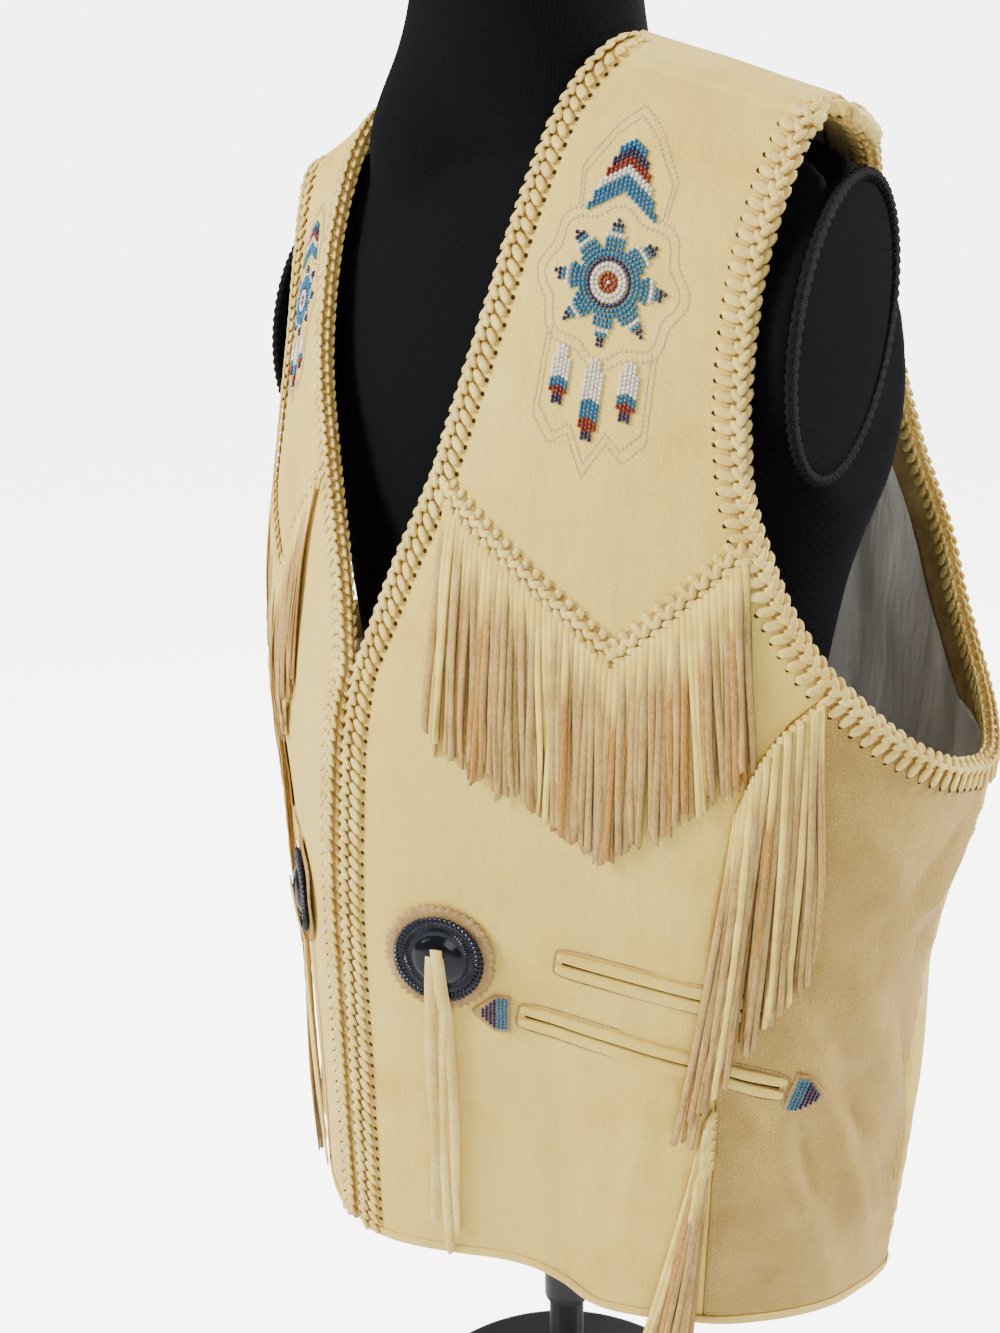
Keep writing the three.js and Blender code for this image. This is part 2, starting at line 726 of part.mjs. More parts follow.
function addBackAndLining() {
  const left = edgesOf(true);
  const right = edgesOf(false);
  const back = backGrid(left, right, 0);
  add('back', wall(parted(back, SEAM / 2), 0, LEATHER), COLOURS.leather);
  const high = -LINING_GAP;
  const low = high - LINING;
  const lining = backGrid(left, right, 12);
  add('lining_back', wall(parted(lining, LINING_INSET), low, high), COLOURS.satin, 0.45);
  for (const { name, isLeft } of SIDES) {
    const edge = isLeft ? left : right;
    const bottom = edge.hemSide.map(({ angle, height }) => ({ angle, height: height + 12 }));
    const patchGrid = patch(edge.hemSide, edge.armSide, edge.seam, edge.sideSeam);
    patchGrid[0] = bottom;
    add(`lining_side_${name}`, wall(parted(patchGrid, LINING_INSET), low, high), COLOURS.satin, 0.45);
  }
}

// A strip of facing inside an edge
function facingStrip(list, inwardSign, width) {
  const high = -LINING - FACING_LIFT;
  const frames = edgeFrames(list, inwardSign);
  const shifted = (distance) => list.map((place, i) => (
    movedPlace(place, frames[i].inward.clone().multiplyScalar(distance))
  ));
  const grid = [1, width * 0.35, width * 0.7, width].map(shifted);
  return wall(parted(grid, SEAM), high - FACING, high);
}

function addFacings({ name, isLeft, inward, flip }) {
  const armhole = joined(
    edgePoints(ARMHOLE_UPPER_FRONT, STEPS.yokeRise),
    edgePoints(ARMHOLE_LOWER_FRONT, STEPS.armholeLower),
    edgePoints(ARMHOLE_SIDE, STEPS.side),
    edgePoints(ARMHOLE_BACK, STEPS.backArm),
  );
  add(`facing_armhole_${name}`, facingStrip(flip(armhole), -inward, FACING_WIDTH), COLOURS.facing);
  const front = joined(
    edgePoints(FRONT_EDGE, STEPS.frontLower),
    edgePoints(NECKLINE[name].lower, STEPS.frontUpper),
    edgePoints(NECKLINE[name].upper, STEPS.yokeRise),
  );
  add(`facing_front_${name}`, facingStrip(flip(front), -inward, FACING_WIDTH + 13), COLOURS.facing);
}

const EDGE_LACE_LIFT = 1.8;
const ARMHOLE_LACE_LIFT = 2.6;
const laceSection = (lift) => [
  { inward: -3.6, out: 0.6 },
  { inward: -1, out: -0.4 },
  { inward: -1, out: LEATHER + lift },
  { inward: 14.5, out: LEATHER + lift },
  { inward: 12.5, out: LEATHER + lift + 1.6 },
  { inward: -0.9, out: LEATHER + lift + 2.3 },
];

function addLacing({ name, inward, flip }) {
  const edge = joined(
    edgePoints(FRONT_EDGE, STEPS.frontLower),
    edgePoints(NECKLINE[name].lower, STEPS.frontUpper),
    edgePoints(NECKLINE[name].upper, STEPS.yokeRise),
    edgePoints(NECKLINE[name].backNeck, STEPS.backNeck),
  );
  edge[edge.length - 1].angle -= 0.3;
  add(`edge_lacing_${name}`, edgeBand(flip(edge), laceSection(EDGE_LACE_LIFT), -inward), COLOURS.lace, 0.8);
  const ring = joined(
    edgePoints(ARMHOLE_UPPER_FRONT, STEPS.yokeRise),
    edgePoints(ARMHOLE_LOWER_FRONT, STEPS.armholeLower),
    edgePoints(ARMHOLE_SIDE, STEPS.side),
    edgePoints(ARMHOLE_BACK, STEPS.backArm),
  );
  const armholeBand = edgeBand(flip(ring), laceSection(ARMHOLE_LACE_LIFT), -inward);
  add(`armhole_lacing_${name}`, armholeBand, COLOURS.lace, 0.8);
}

const BRAID_WIDTH = 13;
const BRAID_CLEARANCE = 20;
const YOKE_STRIP_DROP = 9.8;
const BRAID_SECTION = [
  { inward: -BRAID_WIDTH / 2, out: LEATHER + PART },
  { inward: BRAID_WIDTH / 2, out: LEATHER + PART },
  { inward: BRAID_WIDTH / 2 - 2, out: LEATHER + 2.6 },
  { inward: 0, out: LEATHER + 3.2 },
  { inward: 2 - BRAID_WIDTH / 2, out: LEATHER + 2.6 },
];

function addYokeTrim({ name, inward, flip, seed }) {
  const line = joined(
    evenPlaces(NECKLINE[name].yokeInner, 9, BRAID_CLEARANCE, 0),
    evenPlaces(YOKE_LINE_OUTER, 7, 0, BRAID_CLEARANCE),
  );
  add(`yoke_braid_${name}`, edgeBand(flip(line), BRAID_SECTION, -inward), COLOURS.lace, 0.8);
  const inner = strandRoots(NECKLINE[name].yokeInner, NECKLINE[name].yokeStrands, STRAND_WIDTH * 1.2);
  const outer = strandRoots(YOKE_LINE_OUTER, 15, STRAND_WIDTH * 1.3);
  const hang = (s, strands) => {
    const length = 112 + 5 * uneven(seed + s) + 10 * Math.abs(s / strands - 0.5);
    const sway = 0.3 * uneven(seed + 3 * s);
    return [
      { side: sway, down: length * 0.45, off: 1.2 },
      { side: sway, down: length, off: 3.2 + uneven(seed + 7 * s) },
    ];
  };
  const roots = [...inner.slice(6), ...outer.slice(2, -4)];
  const strands = fringe(flip(roots), { round: 0, up: -1 }, YOKE_STRIP_DROP, 3, inward, hang);
  add(`yoke_fringe_${name}`, strands, COLOURS.suede);
}

const SEAM_FRINGE_UPPER = [
  { angle: 51.6, height: 296 },
  { angle: 56.4, height: 333 },
  { angle: 59.5, height: 343 },
];
const SEAM_FRINGE_LOWER = [
  { angle: 53.4, height: 78 },
  { angle: 53.4, height: 96 },
  { angle: 53.4, height: 117 },
];

function addSeamFringes({ name, inward, flip, seed }) {
  const forward = name === 'left' ? -1 : 1;
  const upper = (s, strands) => {
    const share = s / (strands - 1);
    const length = 190 - 45 * share + 12 * uneven(seed + s);
    const lane = 20 * (1 - share) * forward;
    return [
      { side: lane * 0.7, down: 12 + length * 0.4, off: 2.5 },
      { side: lane, down: length, off: 5 + uneven(seed + 5 * s) },
    ];
  };
  const lower = (s, strands) => {
    const share = s / (strands - 1);
    const length = 150 + 14 * share + 6 * uneven(seed + 2 * s);
    const lane = (6 + 40 * share) * forward;
    return [
      { side: lane, down: 12 + 30 * share, off: 2.5 },
      { side: lane, down: length, off: 5 + uneven(seed + 5 * s) },
    ];
  };
  const upperRoots = strandRoots(SEAM_FRINGE_UPPER, 9, STRAND_WIDTH * 0.7);
  const lowerRoots = strandRoots(SEAM_FRINGE_LOWER, 9, STRAND_WIDTH * 0.95);
  const slim = STRAND_WIDTH * 0.7;
  const hung = fringe(flip(upperRoots), { round: 0, up: -1 }, 1, 4, inward, upper, slim);
  add(`seam_fringe_upper_${name}`, hung, COLOURS.suede);
  const fanned = fringe(flip(lowerRoots), { round: forward, up: 0 }, 1, 3, forward, lower);
  add(`seam_fringe_lower_${name}`, fanned, COLOURS.suede);
}

// Each pocket: the places of its two ends
const POCKETS = [
  { name: 'upper', from: { angle: 28.8, height: 199 }, to: { angle: 60.5, height: 178 }, lip: 7 },
  { name: 'lower', from: { angle: 24.1, height: 164 }, to: { angle: 64.6, height: 132 }, lip: 7 },
];
const POCKET_SLIT = 1.2;
const TAB_OUTLINE = [
  { x: 0, y: -11 },
  { x: 9, y: -11 },
  { x: 21.5, y: -1 },
  { x: 21.5, y: 1 },
  { x: 9, y: 11 },
  { x: 0, y: 11 },
];

function addPockets({ name, inward, flip }) {
  for (const pocket of POCKETS) {
    const line = edgePoints([pocket.from, pocket.to], 8);
    const lips = [
      { part: 'top', from: -POCKET_SLIT / 2 - pocket.lip, to: -POCKET_SLIT / 2 },
      { part: 'bottom', from: POCKET_SLIT / 2, to: POCKET_SLIT / 2 + pocket.lip },
    ];
    for (const lip of lips) {
      const section = [
        { inward: lip.from, out: LEATHER + PART },
        { inward: lip.to, out: LEATHER + PART },
        { inward: lip.to, out: LEATHER + 1.9 },
        { inward: lip.from, out: LEATHER + 1.9 },
      ];
      const band = edgeBand(flip(line), section, -inward);
      add(`pocket_${pocket.name}_${lip.part}_${name}`, band, COLOURS.leather);
    }
  }
  const { from, to } = POCKETS[1];
  const slope = name === 'left' ? -1 : 1;
  const tabs = [
    { end: 'front', at: { angle: from.angle - 1, height: from.height - 0.2 }, turn: 180, slant: 0 },
    { end: 'side', at: { angle: to.angle + 0.6, height: to.height - 0.8 }, turn: 0, slant: 16 },
  ];
  for (const tab of tabs) {
    const tilt = slope * tab.slant + (name === 'left' ? tab.turn : 180 - tab.turn);
    const outline = TAB_OUTLINE.map(({ x, y }) => ({ x: x + 0.6, y }));
    const centre = flip([tab.at])[0];
    const plate = plateOnCloth(centre, outline, tilt, LEATHER + 0.9, LEATHER + 2.3);
    add(`pocket_tab_${tab.end}_${name}`, plate, COLOURS.tab);
  }
}

const CONCHO = { angle: 14.3, height: 195, radius: 25.5, rise: 6, scallops: 14 };
const ROSETTE_RADIUS = 31;

function addConcho({ name, flip }) {
  const centre = flip([{ angle: CONCHO.angle, height: CONCHO.height }])[0];
  const outline = [];
  for (let k = 0; k < CONCHO.scallops * 2; k += 1) {
    const turn = (k / (CONCHO.scallops * 2)) * 2 * Math.PI;
    const radius = ROSETTE_RADIUS * (k % 2 === 0 ? 1 : 0.93);
    outline.push({ x: radius * Math.cos(turn), y: radius * Math.sin(turn) });
  }
  const low = LEATHER + PART;
  add(`rosette_${name}`, plateOnCloth(centre, outline, 0, low, low + 2), COLOURS.tab);
  const profile = [[0, 0], [CONCHO.radius - 1, 0], [CONCHO.radius, 1], [CONCHO.radius - 1, 2.2],
    [CONCHO.radius * 0.55, 2.6], [CONCHO.radius * 0.35, CONCHO.rise - 0.8], [0, CONCHO.rise]];
  const disc = new THREE.LatheGeometry(profile.map(([x, y]) => new THREE.Vector2(x, y)), 20);
  disc.rotateX(Math.PI / 2);
  const mesh = add(`concho_${name}`, closedGeometry(disc), COLOURS.concho, 0.35, 0.9);
  const { out } = shellFrame(centre.angle, centre.height);
  mesh.quaternion.setFromUnitVectors(new THREE.Vector3(0, 0, 1), out);
  mesh.position.copy(onVest(centre, low + 2 + PART + 0.2));
}

const TIES = [
  { name: 'tie_1', side: -5.5, length: 146, sway: -1.5 },
  { name: 'tie_2', side: 1, length: 166, sway: 1 },
  { name: 'tie_3', side: 8, length: 154, sway: 5 },
];
const TIE_WIDTH = 4.5;

function addTies({ name, flip }) {
  const sign = name === 'left' ? 1 : -1;
  for (const tie of TIES) {
    const points = [];
    const sections = 7;
    for (let j = 0; j < sections; j += 1) {
      const share = j / (sections - 1);
      const height = CONCHO.height - ROSETTE_RADIUS - 1.5 - tie.length * share;
      const centre = flip([{ angle: CONCHO.angle, height }])[0];
      const { round } = shellFrame(centre.angle, centre.height);
      const bow = 2.2 + 3.5 * Math.sin(Math.PI * share) * (1 + 0.2 * tie.sway);
      for (const [edge, out] of [[-0.5, 0], [0.5, 0], [0.5, 1.3], [-0.5, 1.3]]) {
        const level = sign * (tie.side + tie.sway * share + edge * TIE_WIDTH);
        const place = movedPlace(centre, round.clone().normalize().multiplyScalar(level));
        points.push(onVest(place, LEATHER + bow + out));
      }
    }
    add(`${tie.name}_${name}`, tube(points, 4, sections), COLOURS.lace);
  }
}

// ---- The dress form ----

function closedGeometry(geometry) {
  const bare = new THREE.BufferGeometry();
  bare.setAttribute('position', geometry.getAttribute('position'));
  bare.setIndex(geometry.getIndex());
  const merged = mergeVertices(bare, 1e-3);
  const index = merged.getIndex().array;
  const kept = [];
  for (let i = 0; i < index.length; i += 3) {
    const [a, b, c] = [index[i], index[i + 1], index[i + 2]];
    if (a !== b && b !== c && a !== c) kept.push(a, b, c);
  }
  merged.setIndex(kept);
  const corner = (i) => new THREE.Vector3().fromBufferAttribute(merged.getAttribute('position'), i);
  const points = [];
  for (let i = 0; i < merged.getAttribute('position').count; i += 1) points.push(corner(i));
  const faces = [];
  for (let i = 0; i < kept.length; i += 3) faces.push([kept[i], kept[i + 1], kept[i + 2]]);
  return solid(points, faces);
}

function toManifold(geometry) {
  const closed = closedGeometry(geometry);
  const vertProperties = new Float32Array(closed.getAttribute('position').array);
  const triVerts = new Uint32Array(closed.getIndex().array);
  return new wasm.Manifold(new wasm.Mesh({ numProp: 3, vertProperties, triVerts }));
}

function fromManifold(shape) {
  const { vertProperties, triVerts } = shape.getMesh();
  const geometry = new THREE.BufferGeometry();
  geometry.setAttribute('position', new THREE.BufferAttribute(new Float32Array(vertProperties), 3));
  geometry.setIndex([...triVerts]);
  return geometry;
}

const FORM_RIDGE = SHOULDER_RISE - 12;
const PLATE_SIDE = 194;
const PLATE = { halfDepth: 40, halfHeight: 72, forward: -22, height: 521, lean: -14 };
const FORM_SEGMENTS = 28;

function torsoGeometry() {
  const formShell = bodyShell(FORM_SECTIONS, FORM_RIDGE, PLATE_SIDE);
  const heights = [-14, 40, 100, 160, 220, 280, 330, 380, 420, 460, 500, 540, 575, 603, 625, 636, 644];
  const points = [];
  for (const height of heights) {
    for (let k = 0; k < FORM_SEGMENTS; k += 1) {
      points.push(formShell((k / FORM_SEGMENTS) * 360, height));
    }
  }
  const faces = [];
  for (let j = 0; j + 1 < heights.length; j += 1) {
    for (let k = 0; k < FORM_SEGMENTS; k += 1) {
      const l = (k + 1) % FORM_SEGMENTS;
      const low = j * FORM_SEGMENTS;
      const high = low + FORM_SEGMENTS;
      faces.push([low + k, low + l, high + l, high + k]);
    }
  }
  faces.push([...Array(FORM_SEGMENTS).keys()].reverse());
  const top = (heights.length - 1) * FORM_SEGMENTS;
  for (let k = 0; k < FORM_SEGMENTS / 2; k += 1) {
    const front = [top + ((FORM_SEGMENTS - k) % FORM_SEGMENTS), top + FORM_SEGMENTS - k - 1];
    const behind = [top + k, top + k + 1];
    faces.push([behind[0], behind[1], front[1], front[0]]);
  }
  return solid(points, faces);
}

const NECK = { radius: 61, flare: 66, foot: 585, bend: 668, top: 752 };

function neckGeometry() {
  const profile = [
    [0, NECK.foot],
    [NECK.flare, NECK.foot],
    [NECK.flare - 2, NECK.foot + 25],
    [NECK.radius + 4, NECK.bend - 22],
    [NECK.radius + 2, NECK.bend],
    [NECK.radius, NECK.bend + 30],
    [NECK.radius - 1, NECK.top - 6],
    [NECK.radius - 5, NECK.top],
    [0, NECK.top + 2],
  ];
  const neck = new THREE.LatheGeometry(profile.map(([x, y]) => new THREE.Vector2(x, y)), 28);
  neck.rotateX(Math.PI / 2);
  neck.translate(0, DEPTH_SHIFT + SHOULDER_FORWARD + 1, HEM_ABOVE_FLOOR);
  return neck;
}

const BASE_RADIUS = 140;
const BASE_HEIGHT = 14;
const POLE_RADIUS = 12.5;

function addDressForm() {
  const body = toManifold(torsoGeometry()).add(toManifold(neckGeometry()));
  add('dress_form', fromManifold(body), COLOURS.jersey, 0.9);
  const plate = new THREE.CylinderGeometry(1, 1, 5, 24);
  plate.rotateZ(Math.PI / 2);
  plate.scale(1, PLATE.halfDepth, PLATE.halfHeight);
  plate.rotateX(radians(PLATE.lean));
  for (const { name } of SIDES) {
    const sign = name === 'left' ? 1 : -1;
    const mesh = add(`arm_plate_${name}`, closedGeometry(plate), COLOURS.jersey, 0.8);
    mesh.position.set(sign * (PLATE_SIDE + 6), PLATE.forward, HEM_ABOVE_FLOOR + PLATE.height);
  }
  const poleTop = HEM_ABOVE_FLOOR - 14 - PART;
  const poleFoot = BASE_HEIGHT + PART;
  const pole = new THREE.CylinderGeometry(POLE_RADIUS, POLE_RADIUS, poleTop - poleFoot, 20);
  pole.rotateX(Math.PI / 2);
  const poleMesh = add('stand_pole', closedGeometry(pole), COLOURS.stand, 0.4, 0.6);
  poleMesh.position.set(0, 0, (poleTop + poleFoot) / 2);
  const baseProfile = [[0, 0], [BASE_RADIUS - 1, 0], [BASE_RADIUS, 1.5], [BASE_RADIUS, 7],
    [BASE_RADIUS - 4, 10], [40, BASE_HEIGHT], [0, BASE_HEIGHT]];
  const base = new THREE.LatheGeometry(baseProfile.map(([x, y]) => new THREE.Vector2(x, y)), 40);
  base.rotateX(Math.PI / 2);
  add('stand_base', closedGeometry(base), COLOURS.stand, 0.5, 0.2);
}

for (const side of SIDES) {
  addFrontPanels(side);
  addFacings(side);
  addLacing(side);
  addYokeTrim(side);
  addSeamFringes(side);
  addPockets(side);
  addConcho(side);
  addTies(side);
}
addBackAndLining();
addDressForm();

export default vest;
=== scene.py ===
"""A fringed leather vest on a dress form: the finished look, laid out as an add-on.

Run as a script. Lengths inside the functions are millimetres on the cloth; meshes are in metres.
A place on the cloth is a pair: the angle round the body in degrees from the centre front towards the
wearer's left, and the height above the front hem. The wearer's right side uses negative angles.
"""

import math

import bpy
import numpy as np
from bpy.props import FloatProperty, PointerProperty
from mathutils import Matrix, Vector


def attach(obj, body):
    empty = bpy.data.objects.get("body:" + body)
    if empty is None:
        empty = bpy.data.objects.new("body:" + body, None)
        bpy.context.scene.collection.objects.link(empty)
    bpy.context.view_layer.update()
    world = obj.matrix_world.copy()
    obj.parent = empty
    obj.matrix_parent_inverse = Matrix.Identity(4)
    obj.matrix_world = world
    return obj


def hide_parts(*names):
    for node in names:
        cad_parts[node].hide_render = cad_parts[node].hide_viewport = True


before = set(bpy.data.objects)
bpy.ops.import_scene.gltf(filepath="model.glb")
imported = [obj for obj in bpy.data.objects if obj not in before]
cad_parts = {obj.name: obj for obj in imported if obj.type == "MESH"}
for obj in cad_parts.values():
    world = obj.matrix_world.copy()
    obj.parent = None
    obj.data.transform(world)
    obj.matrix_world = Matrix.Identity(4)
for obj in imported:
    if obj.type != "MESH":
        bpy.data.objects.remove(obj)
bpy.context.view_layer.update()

bl_info = {
    "name": "Fringed leather vest",
    "version": (1, 0, 0),
    "blender": (4, 5, 0),
    "location": "3D View > Sidebar > Vest",
    "description": "Builds a fringed, laced and beaded leather vest on a dress form",
    "category": "Object",
}

SIDES = (("left", 1), ("right", -1))
HEM_ABOVE_FLOOR = 320.0
DEPTH_SHIFT = 13.8
SHOULDER_RISE = 660.0
CHEST_RISE = 400.0
NECK_HALF_WIDTH = 76.0
SHOULDER_SLOPE = 0.36
SHOULDER_FORWARD = -42.0
LEATHER = 1.6
RIDGE = SHOULDER_RISE - 0.002
FRONT_EDGE_ANGLE = 1.0
NECK_ANGLE = 18.9
WIDE_NECK_ANGLE = 29.2
TIP_ANGLE = 56.0
SIDE_SEAM_ANGLE = 100.0
BACK_CENTRE = 180.0
V_BOTTOM = 348.0
HEM_LEVEL = -25.0
MM_PER_DEGREE = 3.7
PANEL_GAP = 0.2
RIM_DIP = 0.7

# Body sections: height, half width, depth in front and behind, and how far the front edges stand out
VEST_SECTIONS = (
    (-60, 226, 158, 112, 36),
    (0, 228, 158, 116, 36),
    (100, 234, 159, 130, 36),
    (200, 242, 160, 150, 36),
    (300, 259, 158, 172, 32),
    (380, 257, 152, 170, 18),
    (460, 246, 146, 150, 4),
    (560, 239, 138, 126, 0),
    (660, 237, 130, 114, 0),
)
FORM_SECTIONS = (
    (-14, 150, 104, 88, 0),
    (60, 148, 106, 86, 0),
    (160, 150, 110, 88, 0),
    (280, 160, 120, 96, 0),
    (380, 176, 128, 102, 0),
    (460, 204, 128, 102, 0),
    (560, 226, 120, 98, 0),
    (655, 222, 110, 92, 0),
)

# Large soft folds: angle, height, lean, length, width, depth
FOLDS = (
    (92, 240, 38, 70, 16, 4.5),
    (112, 190, 30, 90, 20, -5),
    (84, 150, -34, 70, 15, 4),
    (104, 60, 12, 120, 24, 6),
    (128, 40, 6, 150, 28, -6),
    (150, 30, -4, 160, 30, 6),
    (176, 20, 3, 170, 28, -5),
    (204, 30, 5, 150, 30, 6),
    (228, 45, -8, 140, 26, -6),
    (252, 70, -10, 120, 24, 5),
    (264, 236, -36, 70, 18, 4),
    (146, 330, 24, 110, 22, -5),
    (214, 345, -26, 100, 20, -5),
    (62, 60, 14, 90, 20, 3),
    (70, 158, -40, 62, 11, 5.6),
    (78, 122, -34, 64, 11, -5.2),
    (68, 66, -30, 56, 10, 4.8),
    (61, 104, -42, 46, 9, -3.6),
    (84, 40, -24, 54, 11, 5.0),
    (80, 250, -48, 50, 9, 4.6),
    (90, 214, -44, 54, 9, -4.4),
    (-74, 150, 40, 60, 11, 5.2),
    (-82, 110, 34, 60, 11, -4.8),
    (298, 70, -14, 90, 20, 3),
)
# Smaller creases, in the same columns
CREASES = (
    (70, 88, -20, 34, 5, -2.5),
    (76, 100, -30, 38, 5, 2.4),
    (83, 92, -42, 36, 5, -2.2),
    (90, 262, 52, 42, 5, -2.7),
    (86, 226, 58, 34, 4.5, 2.4),
    (97, 214, 46, 40, 5, -2.5),
    (95, 128, -36, 46, 6, -2.9),
    (88, 60, -24, 44, 6, 2.4),
    (18, 70, 4, 60, 7, 1.5),
    (30, 90, -5, 70, 9, -1.5),
    (41, 70, 6, 60, 8, 1.4),
    (-90, 262, -52, 42, 5, -2.7),
    (-97, 214, -46, 40, 5, 2.5),
    (-84, 92, 42, 36, 5, -2.4),
    (-92, 130, 30, 46, 6, 2.7),
    (-22, 80, -4, 62, 8, 1.4),
    (-36, 96, 5, 70, 9, -1.5),
    (122, 262, 40, 60, 7, -2.9),
    (130, 230, 34, 56, 6, 2.5),
    (-124, 258, -40, 58, 7, -2.7),
    (-132, 224, -32, 56, 6, 2.5),
    (150, 470, 12, 60, 9, -2.0),
    (-152, 462, -14, 62, 9, -2.0),
    (172, 200, 3, 90, 10, 2.0),
    (-170, 180, -4, 96, 10, -2.0),
)

# Edge curves of the wearer's left half
CURVES = {
    "armhole_upper": (
        (TIP_ANGLE, RIDGE), (53.6, 630), (51.4, 589), (50.4, 540), (50.4, 493), (51.4, 452), (52.8, 430),
    ),
    "armhole_lower": ((52.8, 430), (56, 398), (61, 370), (64, 359)),
    "armhole_side": ((64, 359), (73, 334), (84, 315), (SIDE_SEAM_ANGLE, 302)),
    "armhole_back": (
        (SIDE_SEAM_ANGLE, 302), (112, 305), (124, 325), (134, 368), (140, 432), (142, 510), (138, 592),
        (180 - TIP_ANGLE, RIDGE),
    ),
    "front_edge": ((FRONT_EDGE_ANGLE, 0), (FRONT_EDGE_ANGLE, V_BOTTOM)),
    "v_lower": ((FRONT_EDGE_ANGLE, V_BOTTOM), (4.3, 400), (7.8, 450)),
    "v_upper": ((7.8, 450), (11.2, 520), (14.0, 590), (16.2, 636), (NECK_ANGLE, RIDGE)),
    "yoke_inner": ((7.8, 450), (33.5, 368)),
    "yoke_outer": ((33.5, 368), (52.8, 430)),
    "fringed_seam": ((54, HEM_LEVEL), (53.5, 115), (50.5, 230), (51.5, 300), (57, 338), (64, 359)),
    "side_seam": ((SIDE_SEAM_ANGLE, HEM_LEVEL), (SIDE_SEAM_ANGLE, 302)),
    "hem_front": ((FRONT_EDGE_ANGLE, 0), (24, -1), (30, -9), (35, -21), (42, HEM_LEVEL), (54, HEM_LEVEL)),
    "hem_side": ((54, HEM_LEVEL), (SIDE_SEAM_ANGLE, HEM_LEVEL)),
    "hem_back": ((SIDE_SEAM_ANGLE, HEM_LEVEL), (BACK_CENTRE, HEM_LEVEL)),
    "shoulder": ((NECK_ANGLE, RIDGE), (TIP_ANGLE, RIDGE)),
    "shoulder_back": ((180 - NECK_ANGLE, RIDGE), (180 - TIP_ANGLE, RIDGE)),
    "back_neck": ((BACK_CENTRE - NECK_ANGLE, RIDGE), (167, 640), (BACK_CENTRE, 631)),
}

# The wearer's right half has a neckline of its own, which stands wider
RIGHT_CURVES = {
    "v_lower": ((FRONT_EDGE_ANGLE, V_BOTTOM), (5.8, 398), (14.5, 450)),
    "v_upper": ((14.5, 450), (23.0, 510), (27.2, 570), (28.6, 622), (WIDE_NECK_ANGLE, RIDGE)),
    "yoke_inner": ((14.5, 450), (33.5, 368)),
    "shoulder": ((WIDE_NECK_ANGLE, RIDGE), (TIP_ANGLE, RIDGE)),
    "shoulder_back": ((180 - WIDE_NECK_ANGLE, RIDGE), (180 - TIP_ANGLE, RIDGE)),
    "back_neck": ((BACK_CENTRE - WIDE_NECK_ANGLE, RIDGE), (162, 643), (BACK_CENTRE, 631)),
}


# ---- Curves and the cloth's shell ----


def smooth_column(rows, column):
    """A smooth value over height, by cubic pieces with limited slopes."""
    keys = np.array([row[0] for row in rows], float)
    values = np.array([row[column] for row in rows], float)
    steps = np.diff(values) / np.diff(keys)
    slopes = np.zeros(len(rows))
    for i in range(1, len(rows) - 1):
        before, after = steps[i - 1], steps[i]
        if before * after > 0:
            slopes[i] = 2 * before * after / (before + after)

    def value(height):
        place = np.clip(height, keys[0], keys[-1])
        i = np.clip(np.searchsorted(keys, place, side="right") - 1, 0, len(keys) - 2)
        span = keys[i + 1] - keys[i]
        t = (place - keys[i]) / span
        start = 2 * t**3 - 3 * t**2 + 1
        end = 3 * t**2 - 2 * t**3
        leaving = span * slopes[i] * (t**3 - 2 * t**2 + t)
        arriving = span * slopes[i + 1] * (t**3 - t**2)
        return start * values[i] + end * values[i + 1] + leaving + arriving

    return value


def body_shell(rows, ridge, flat_side):
    """A body surface over a table of sections, which closes along a shoulder ridge."""
    half_width, front, back, proud = (smooth_column(rows, column) for column in (1, 2, 3, 4))

    def surface(places):
        angle, height = places[..., 0], places[..., 1]
        turn = np.radians(angle)
        sine, cosine = np.sin(turn), np.cos(turn)
        up = np.clip((height - CHEST_RISE) / (ridge - CHEST_RISE), 0, 1)
        ahead = cosine > 0
        fullness = 1 + np.where(ahead, -0.035, 0.03) * np.sin(2 * turn) ** 2
        depth = np.where(ahead, front(height) * (1 - up**1.7) ** 0.6, back(height) * (1 - up**3) ** 0.5)
        from_front = np.abs((angle + 180) % 360 - 180)
        stand = proud(height) * np.exp(-((from_front / 20) ** 2))
        reach = half_width(height) * sine * fullness
        side = np.abs(reach)
        trimmed = np.where(side > flat_side, flat_side + (side - flat_side) * 0.08, side)
        settle = up * up * (3 - 2 * up)
        drop = SHOULDER_SLOPE * np.maximum(side - NECK_HALF_WIDTH, 0)
        if flat_side < 300:
            drop = drop + 0.05 * np.maximum(side - 192, 0) ** 2
        x = np.sign(reach) * trimmed
        y = -depth * cosine * fullness - stand + SHOULDER_FORWARD * up * up + DEPTH_SHIFT
        z = HEM_ABOVE_FLOOR + height - drop * settle
        return np.stack([x, y, z], -1)

    return surface


vest_surface = body_shell(VEST_SECTIONS, SHOULDER_RISE, 999)


def relief(places):
    """How far the folds and creases lift the cloth off its shell."""
    angle, height = places[..., 0], places[..., 1]
    lift = np.zeros(np.shape(angle))
    for at, rise, lean, length, width, depth in FOLDS + CREASES:
        turn = (angle - at + 180) % 360 - 180
        sideways = turn * MM_PER_DEGREE
        upwards = height - rise
        lean = math.radians(lean)
        across = sideways * math.cos(lean) - upwards * math.sin(lean)
        along = sideways * math.sin(lean) + upwards * math.cos(lean)
        lift = lift + depth * np.exp(-((across / width) ** 2) - (along / length) ** 2)
    calm = 0.35 * np.sin(np.radians(angle * 11) + height * 0.021)
    calm = calm * np.sin(height * 0.017 + np.radians(angle * 5))
    seam = np.exp(-(((np.abs(angle) - SIDE_SEAM_ANGLE) * MM_PER_DEGREE / 13) ** 2))
    fringed = np.exp(-(((np.abs(angle) - 53) * MM_PER_DEGREE / 12) ** 2)) * (height < 340)
    pucker = 0.55 * np.sin(height * 0.43 + 1.7 * np.sin(height * 0.05)) * (seam + 0.7 * fringed)
    return lift + calm + pucker * (height < 420)


